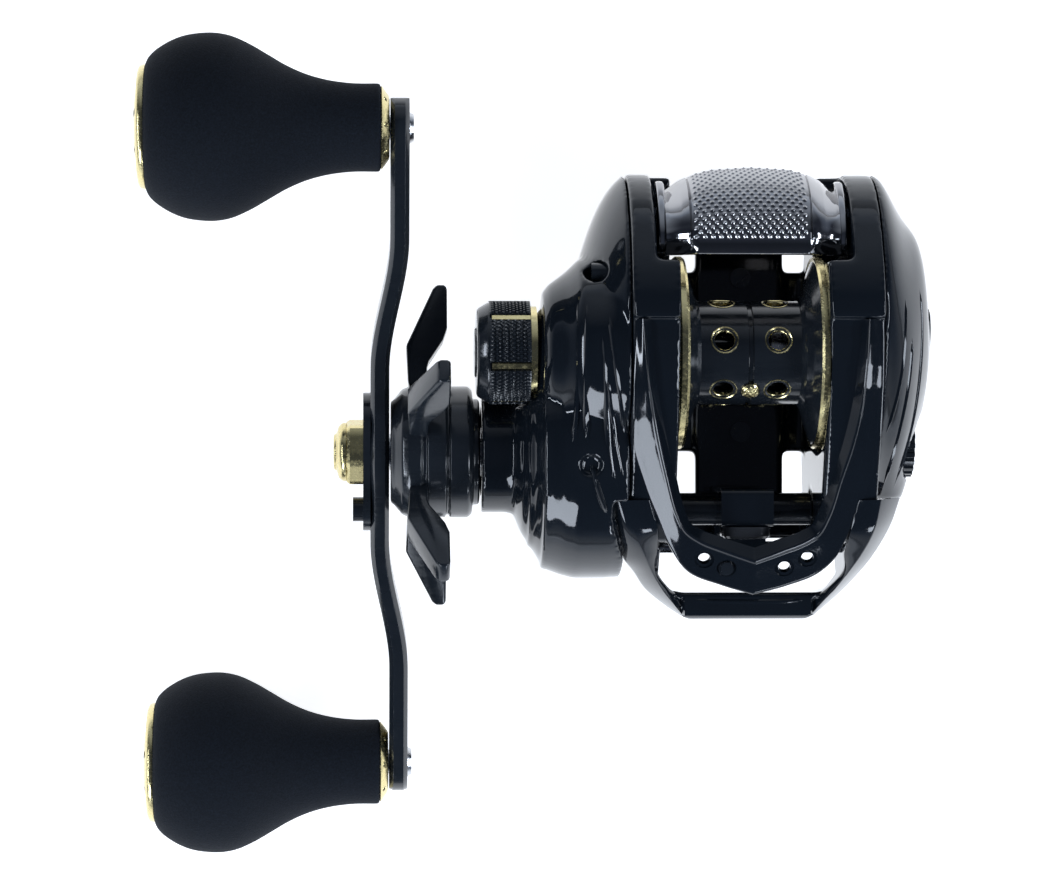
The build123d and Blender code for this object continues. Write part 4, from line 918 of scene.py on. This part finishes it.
FENDER_SECTION = [  # (-1 outer edge, 0 ridge, 1 inner edge; height over the lines between them), once round
    (-1.0, -3.4), (-1.0, -0.45), (-0.97, -0.12), (-0.90, 0.02), (-0.5, 0.35), (-0.10, 0.06), (-0.04, -0.04),
    (0.0, -0.08), (0.04, -0.04), (0.10, 0.0), (0.5, 0.0), (0.90, -0.02), (0.97, -0.12), (1.0, -0.45),
    (1.0, -2.6), (0.0, -2.8),
]


def fender_mesh(stations, count=110):
    """The fender's skin as a closed shape."""
    verts = []
    for outer, ridge, inner in three_lines(stations, count):
        for f, dz in FENDER_SECTION:
            at = ridge + (ridge - outer) * f if f < 0 else ridge + (inner - ridge) * f
            verts.append((at[0], at[1], at[2] + dz))
    return verts, tube_faces(count, len(FENDER_SECTION))


def room_mesh(stations, count=110, gap=0.35, lean=1.0, top=70.0):
    """The left fender's room: everything over its skin, opening a little outwards."""
    lines = list(three_lines(stations, count))
    verts = []
    for k, (o, r, i) in enumerate(lines):
        along = lines[min(k + 1, count - 1)][0] - lines[max(k - 1, 0)][0]
        out = np.array([-abs(along[1]), -abs(along[0])]) / math.hypot(along[0], along[1])
        verts += [(o[0] + out[0] * gap / 2, o[1] + out[1] * gap / 2, o[2] - gap), (r[0], r[1], r[2] - gap),
                  (i[0], i[1], i[2] - gap), (i[0], i[1], top),
                  (o[0] + out[0] * lean, o[1] + out[1] * lean, top)]
    return verts, tube_faces(count, 5)


fenders = [fender_mesh(FENDER_LEFT), fender_mesh(FENDER_RIGHT)]
fender_verts, fender_faces = join_meshes(*fenders)
fender_cap = BVHTree.FromPolygons([Vector(v) * MM for v in fender_verts], fender_faces)


GUARD_Y = (-43.8, -23.9)         # the stretch where the fenders bound the guard
GUARD_X = (-23.2, 26.0)          # how far it may reach elsewhere


def guard_limits(y):
    """How far the guard reaches to both sides at a place along Y."""
    sides = []
    for stations, shrink in ((FENDER_LEFT, 0.25), (FENDER_RIGHT, -0.25)):
        ys, xs = zip(*sorted((s[0][1], s[0][0]) for s in stations))
        sides.append(float(np.interp(y, ys, xs)) + shrink)
    if GUARD_Y[0] < y < GUARD_Y[1]:
        return sides
    return min(sides[0], GUARD_X[0]), max(sides[1], GUARD_X[1])


GEAR_RIBS = [  # (x, y) of raised lines on the gear cover, with their width and height
    ([(-24.3, 6.2), (-23.7, 1.0), (-23.0, -4.1), (-22.1, -9.4), (-21.3, -13.6)], 0.5, 0.32),
    ([(-25.3, 4.0), (-25.0, 0.6), (-24.7, -6.7), (-23.9, -15.8), (-22.9, -21.8)], 0.55, 0.36),
    ([(-24.4, -4.4), (-24.0, -8.0), (-23.1, -13.6), (-21.7, -20.4)], 0.45, 0.28),
    ([(-27.5, 8.6), (-27.9, 3.0), (-28.0, -6.3), (-27.8, -11.0), (-27.4, -15.0)], 0.5, 0.3),
    ([(-29.0, 9.2), (-29.1, 3.0), (-29.2, -6.0), (-29.4, -11.0), (-29.8, -15.2)], 0.45, 0.26),
    ([(-26.8, -18.2), (-26.0, -21.4), (-25.0, -24.4), (-24.2, -26.2)], 0.55, 0.45),
]
DRUM_RINGS = ((-33.9, 19.2, 0.35, 0.3), (-36.1, 15.5, 0.3, 0.3), (-39.4, 10.0, 0.4, 0.22),
              (-42.9, 10.0, 0.35, 0.0))   # (x, radius, half width, height) of rings round the drum
drum_rings = [lathe_mesh(HANDLE, [(x - w, r - 0.8), (x - w, r), (x - w / 2, r + h), (x + w / 2, r + h),
                                  (x + w, r), (x + w, r - 0.8)], 128, closed=True)
              for x, r, w, h in DRUM_RINGS]

# the drum's inner end, trimmed to leave room for the fender
DRUM_END = [(-24.0, 17.8), (-24.0, 20.9), (-20.95, 20.9), (-20.95, 17.8)]
drum = piece("drum_end", *lathe_mesh(HANDLE, DRUM_END, 160, closed=True), None, "black_coat")
cut_away(drum, *room_mesh(FENDER_LEFT))
drum_end = mesh_of(drum)
bpy.data.objects.remove(drum)
gear_side = surface_tree(frame["nodes"]["handle_side_cover"])


def sunk(x, y, radius, depth):
    """A round pocket square to the gear cover's surface above a point."""
    at, normal = drop(gear_side, x * MM, y * MM)
    return round_cut(at / MM, -normal if normal.z > 0 else normal, radius, depth, 0.3)


oval = sunk(-26.0, 12.6, 1.5, 1.0)
screw_pocket = sunk(-26.9, -18.4, 1.7, 1.0)
shell("gear_cover_shell", "handle_side_cover", "frame", "black_coat", [drum_end] + drum_rings,
      (oval, screw_pocket), voxel=0.36, ribs=GEAR_RIBS, soften=(-31.5, -21.4, -16, 10, 30, 160))

PALM_RIBS = [
    ([(23.6, 9.0), (23.5, 3.0), (23.1, -4.3), (22.0, -10.0), (21.0, -13.6)], 0.5, 0.32),
    ([(24.9, 3.0), (24.8, -3.0), (24.0, -9.5), (22.9, -16.1), (21.9, -21.8)], 0.55, 0.36),
    ([(26.4, 12.0), (26.9, 5.0), (26.9, -4.2), (26.2, -11.3), (24.9, -18.0), (23.9, -22.6)], 0.5, 0.36),
]
shell("palm_cover_shell", "palm_side_cover", "palm_cover", "black_coat", ribs=PALM_RIBS)

NOSE_RIB = ([(-10.2, -41.0), (-4.0, -41.2), (1.0, -41.25), (6.0, -41.2), (11.2, -41.0)], 0.4, 0.22)
shell("front_guard_shell", "front_guard", "frame", "black_coat", voxel=0.32, cap=fender_cap,
      ribs=[NOSE_RIB], skins=fenders, limits=guard_limits)
shell("frame_shell", "frame", "frame", "black_coat", voxel=0.39, relax=14, cap=fender_cap)

# ------------------------ spool trim
SPOOL_MID = (span("line_pin", 0)[0] + span("line_pin", 0)[1]) / 2
ARBOR_R = 8.5
PORT_ROWS, PORT_X, FIRST_PORT = 6, 4.4, 13.0     # rows of holes, their distance from the middle, degrees
PORT_RIM = ((1.62, -0.75), (1.62, -0.30), (1.70, -0.18), (2.15, 0.10), (2.25, 0.08), (2.28, -0.4))
RIM_POINTS = 48


def on_arbor(x, across, height, angle):
    """A place over the arbor, across being measured round it from an angle."""
    return about(SPOOL, SPOOL_MID + x, ARBOR_R + height, angle + across / ARBOR_R)


def circle(radius):
    """Points of a circle, as (x, y)."""
    turns = [2 * math.pi * k / RIM_POINTS for k in range(RIM_POINTS)]
    return [(radius * math.cos(a), radius * math.sin(a)) for a in turns]


for row in range(PORT_ROWS):
    for number, side in enumerate((-1, 1)):
        angle = math.radians(FIRST_PORT + 360 / PORT_ROWS * row)
        rim = [on_arbor(side * PORT_X + u, v, height, angle) for r, height in PORT_RIM for u, v in circle(r)]
        piece(f"spool_port_rim_{2 * row + number + 1}", rim,
              grid_faces(len(PORT_RIM), RIM_POINTS, close_rows=True, close_columns=True),
              "spool", "gold_anodised", smooth=30)

PIN_ANGLE = math.radians(-47)
PIN_R, PIN_RINGS, DOME_RINGS = 1.5, 14, 11


def pin_height(u, v, ring):
    """The line pin's domed top with its knurl, then its side going down into the arbor."""
    if ring >= DOME_RINGS:
        return 0.35 - 0.45 * (ring - DOME_RINGS)
    lift = 0.75 * math.sqrt(max(0.0, 1 - (math.hypot(u, v) / 1.9) ** 2)) - 0.1
    knurl = max(abs(math.sin(3.3 * (u + v))), abs(math.sin(3.3 * (u - v))))
    return lift + (0.11 * knurl if ring < DOME_RINGS - 1 else 0.0)


pin = [on_arbor(u, v, pin_height(u, v, ring), PIN_ANGLE)
       for ring in range(PIN_RINGS) for u, v in circle(PIN_R * min(1.0, ring / DOME_RINGS))]
pin_end = tuple(range((PIN_RINGS - 1) * RIM_POINTS, PIN_RINGS * RIM_POINTS))
piece("line_pin_knurled", pin, grid_faces(PIN_RINGS, RIM_POINTS, close_columns=True) + [pin_end],
      "spool", "gold_anodised", ("line_pin",), smooth=25)

# ------------------------ line guide's front ring
EYE = [m for m in frame["record"]["mounts"] if m["name"] == "line_eye"][0]["pos_m"]
EYE_X, EYE_Z = EYE[0] / MM, EYE[2] / MM
RING_POINTS = 96
RING_LINE = (  # (half width, half height, y, power) of rounded squares, once through the ring; 2 is round
    (1.85, 1.85, -22.35, 2), (1.85, 1.85, -29.6, 2), (2.15, 2.15, -30.4, 2), (2.8, 2.8, -30.65, 3),
    (3.7, 3.9, -30.5, 4), (4.0, 4.25, -30.1, 4), (4.05, 4.3, -28.6, 4), (2.55, 2.55, -28.55, 2),
    (2.55, 2.55, -22.35, 2),
)


def super_ring(half_x, half_z, y, power):
    """A rounded-square ring of points in an X-Z plane."""
    points = []
    for k in range(RING_POINTS):
        a = 2 * math.pi * k / RING_POINTS
        c, s = math.cos(a), math.sin(a)
        points.append((EYE_X + half_x * math.copysign(abs(c) ** (2 / power), c), y,
                       EYE_Z + half_z * math.copysign(abs(s) ** (2 / power), s)))
    return points


piece("guide_front_ring", [p for line in RING_LINE for p in super_ring(*line)],
      grid_faces(len(RING_LINE), RING_POINTS, close_rows=True, close_columns=True), "line_guide",
      "ceramic", ("guide_insert",), smooth=35)

# ------------------------ stage
FLOOR_DROP = 0.0002              # metres, as all sizes below
bpy.ops.mesh.primitive_plane_add(size=6, location=(0, 0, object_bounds()[0][2] - FLOOR_DROP))
floor = bpy.context.object
floor.name = "floor"
# white paper with a painted pool of light: it glows evenly under the reel and less further out
glow_floor = Surface("floor_painted_glow", (0.93, 0.935, 0.94), roughness=0.9)
glow_floor.inputs["Emission Color"].default_value = (1, 1, 1, 1)
reach = glow_floor.nodes.new("ShaderNodeVectorMath")
reach.operation = "LENGTH"
glow_floor.links.new(glow_floor.place(stretch=(1.0, 1.15, 1.0), shift=(0.034, 0.016, 0)), reach.inputs[0])
# painted light: the floor's own glow, 0.80 under the reel falling to 0.22 further out
glow_floor.feed("Emission Strength", glow_floor.ramp(reach.outputs["Value"], 0.13, 0.36, 0.80, 0.22))
floor.data.materials.append(glow_floor.material)

# the studio: pale round the horizon, dark overhead, grey-blue behind the reel
world = bpy.data.worlds.new("studio")
bpy.context.scene.world = world
world.use_nodes = True
sky = Nodes(world.node_tree)
direction = sky.nodes.new("ShaderNodeTexCoord").outputs["Generated"]
split = sky.add("ShaderNodeSeparateXYZ", {}, Vector=direction)
height_ramp = sky.add("ShaderNodeValToRGB", {}, Fac=split.outputs["Z"])
SKY = [(0.00, (0.50, 0.53, 0.58)), (0.06, (0.40, 0.44, 0.50)), (0.16, (0.16, 0.19, 0.25)),
       (0.28, (0.035, 0.042, 0.06)), (0.80, (0.02, 0.025, 0.036)), (1.0, (0.05, 0.06, 0.085))]
stops = height_ramp.color_ramp.elements
stops[0].position, stops[0].color = SKY[0][0], (*SKY[0][1], 1)
stops[1].position, stops[1].color = SKY[-1][0], (*SKY[-1][1], 1)
for position, color in SKY[1:-1]:
    stops.new(position).color = (*color, 1)
behind = sky.mix(sky.ramp(split.outputs["Y"], 0.45, 0.85, 0.0, 1.0), (0.0, 0.0, 0.0), (0.34, 0.38, 0.44))
glow = sky.mix(1.0, height_ramp.outputs[0], behind, blend="ADD")
background = sky.nodes["Background"]
sky.links.new(glow, background.inputs["Color"])
background.inputs["Strength"].default_value = 1.0

COOL = (0.80, 0.88, 1.0)
REEL = (0, 0, 0.03)              # what the boxes face
BOXES = {  # name: (place, target, size, watts)
    "front_left_box": ((-0.36, -0.62, 0.37), REEL, (0.26, 0.30), 2.4),
    "front_low_box": ((0.20, -0.74, 0.24), REEL, (0.12, 0.10), 0.4),
    "right_top_box": ((0.44, -0.25, 0.56), REEL, (0.20, 0.24), 1.6),
    "right_strip": ((0.62, -0.16, 0.36), (0, -0.16, 0.03), (0.70, 0.05), 1.9),
    "left_strip": ((-0.60, -0.16, 0.42), (0, -0.16, 0.03), (0.70, 0.05), 1.9),
}
for name, (place, target, size, watts) in BOXES.items():
    data = bpy.data.lights.new(name, "AREA")
    data.shape = "RECTANGLE"
    data.size, data.size_y = size
    data.energy = watts
    data.color = COOL
    lamp = bpy.data.objects.new(name, data)
    lamp.location = place
    lamp.rotation_euler = (Vector(target) - Vector(place)).to_track_quat("-Z", "Y").to_euler()
    bpy.context.scene.collection.objects.link(lamp)

# ------------------------ camera
CAMERA_TILT = math.radians(-2.7)
CAMERA_PLACE = (-0.0642, -0.0135, 0.6296)
LENS, SENSOR = 124.2, 36.0
camera_data = bpy.data.cameras.new("camera")
camera_data.sensor_width = SENSOR
camera_data.lens = LENS
camera = bpy.data.objects.new("camera", camera_data)
camera.location = CAMERA_PLACE
camera.rotation_euler = (0, CAMERA_TILT, 0)
bpy.context.scene.collection.objects.link(camera)
bpy.context.scene.camera = camera
bpy.context.scene.view_settings.view_transform = "Standard"
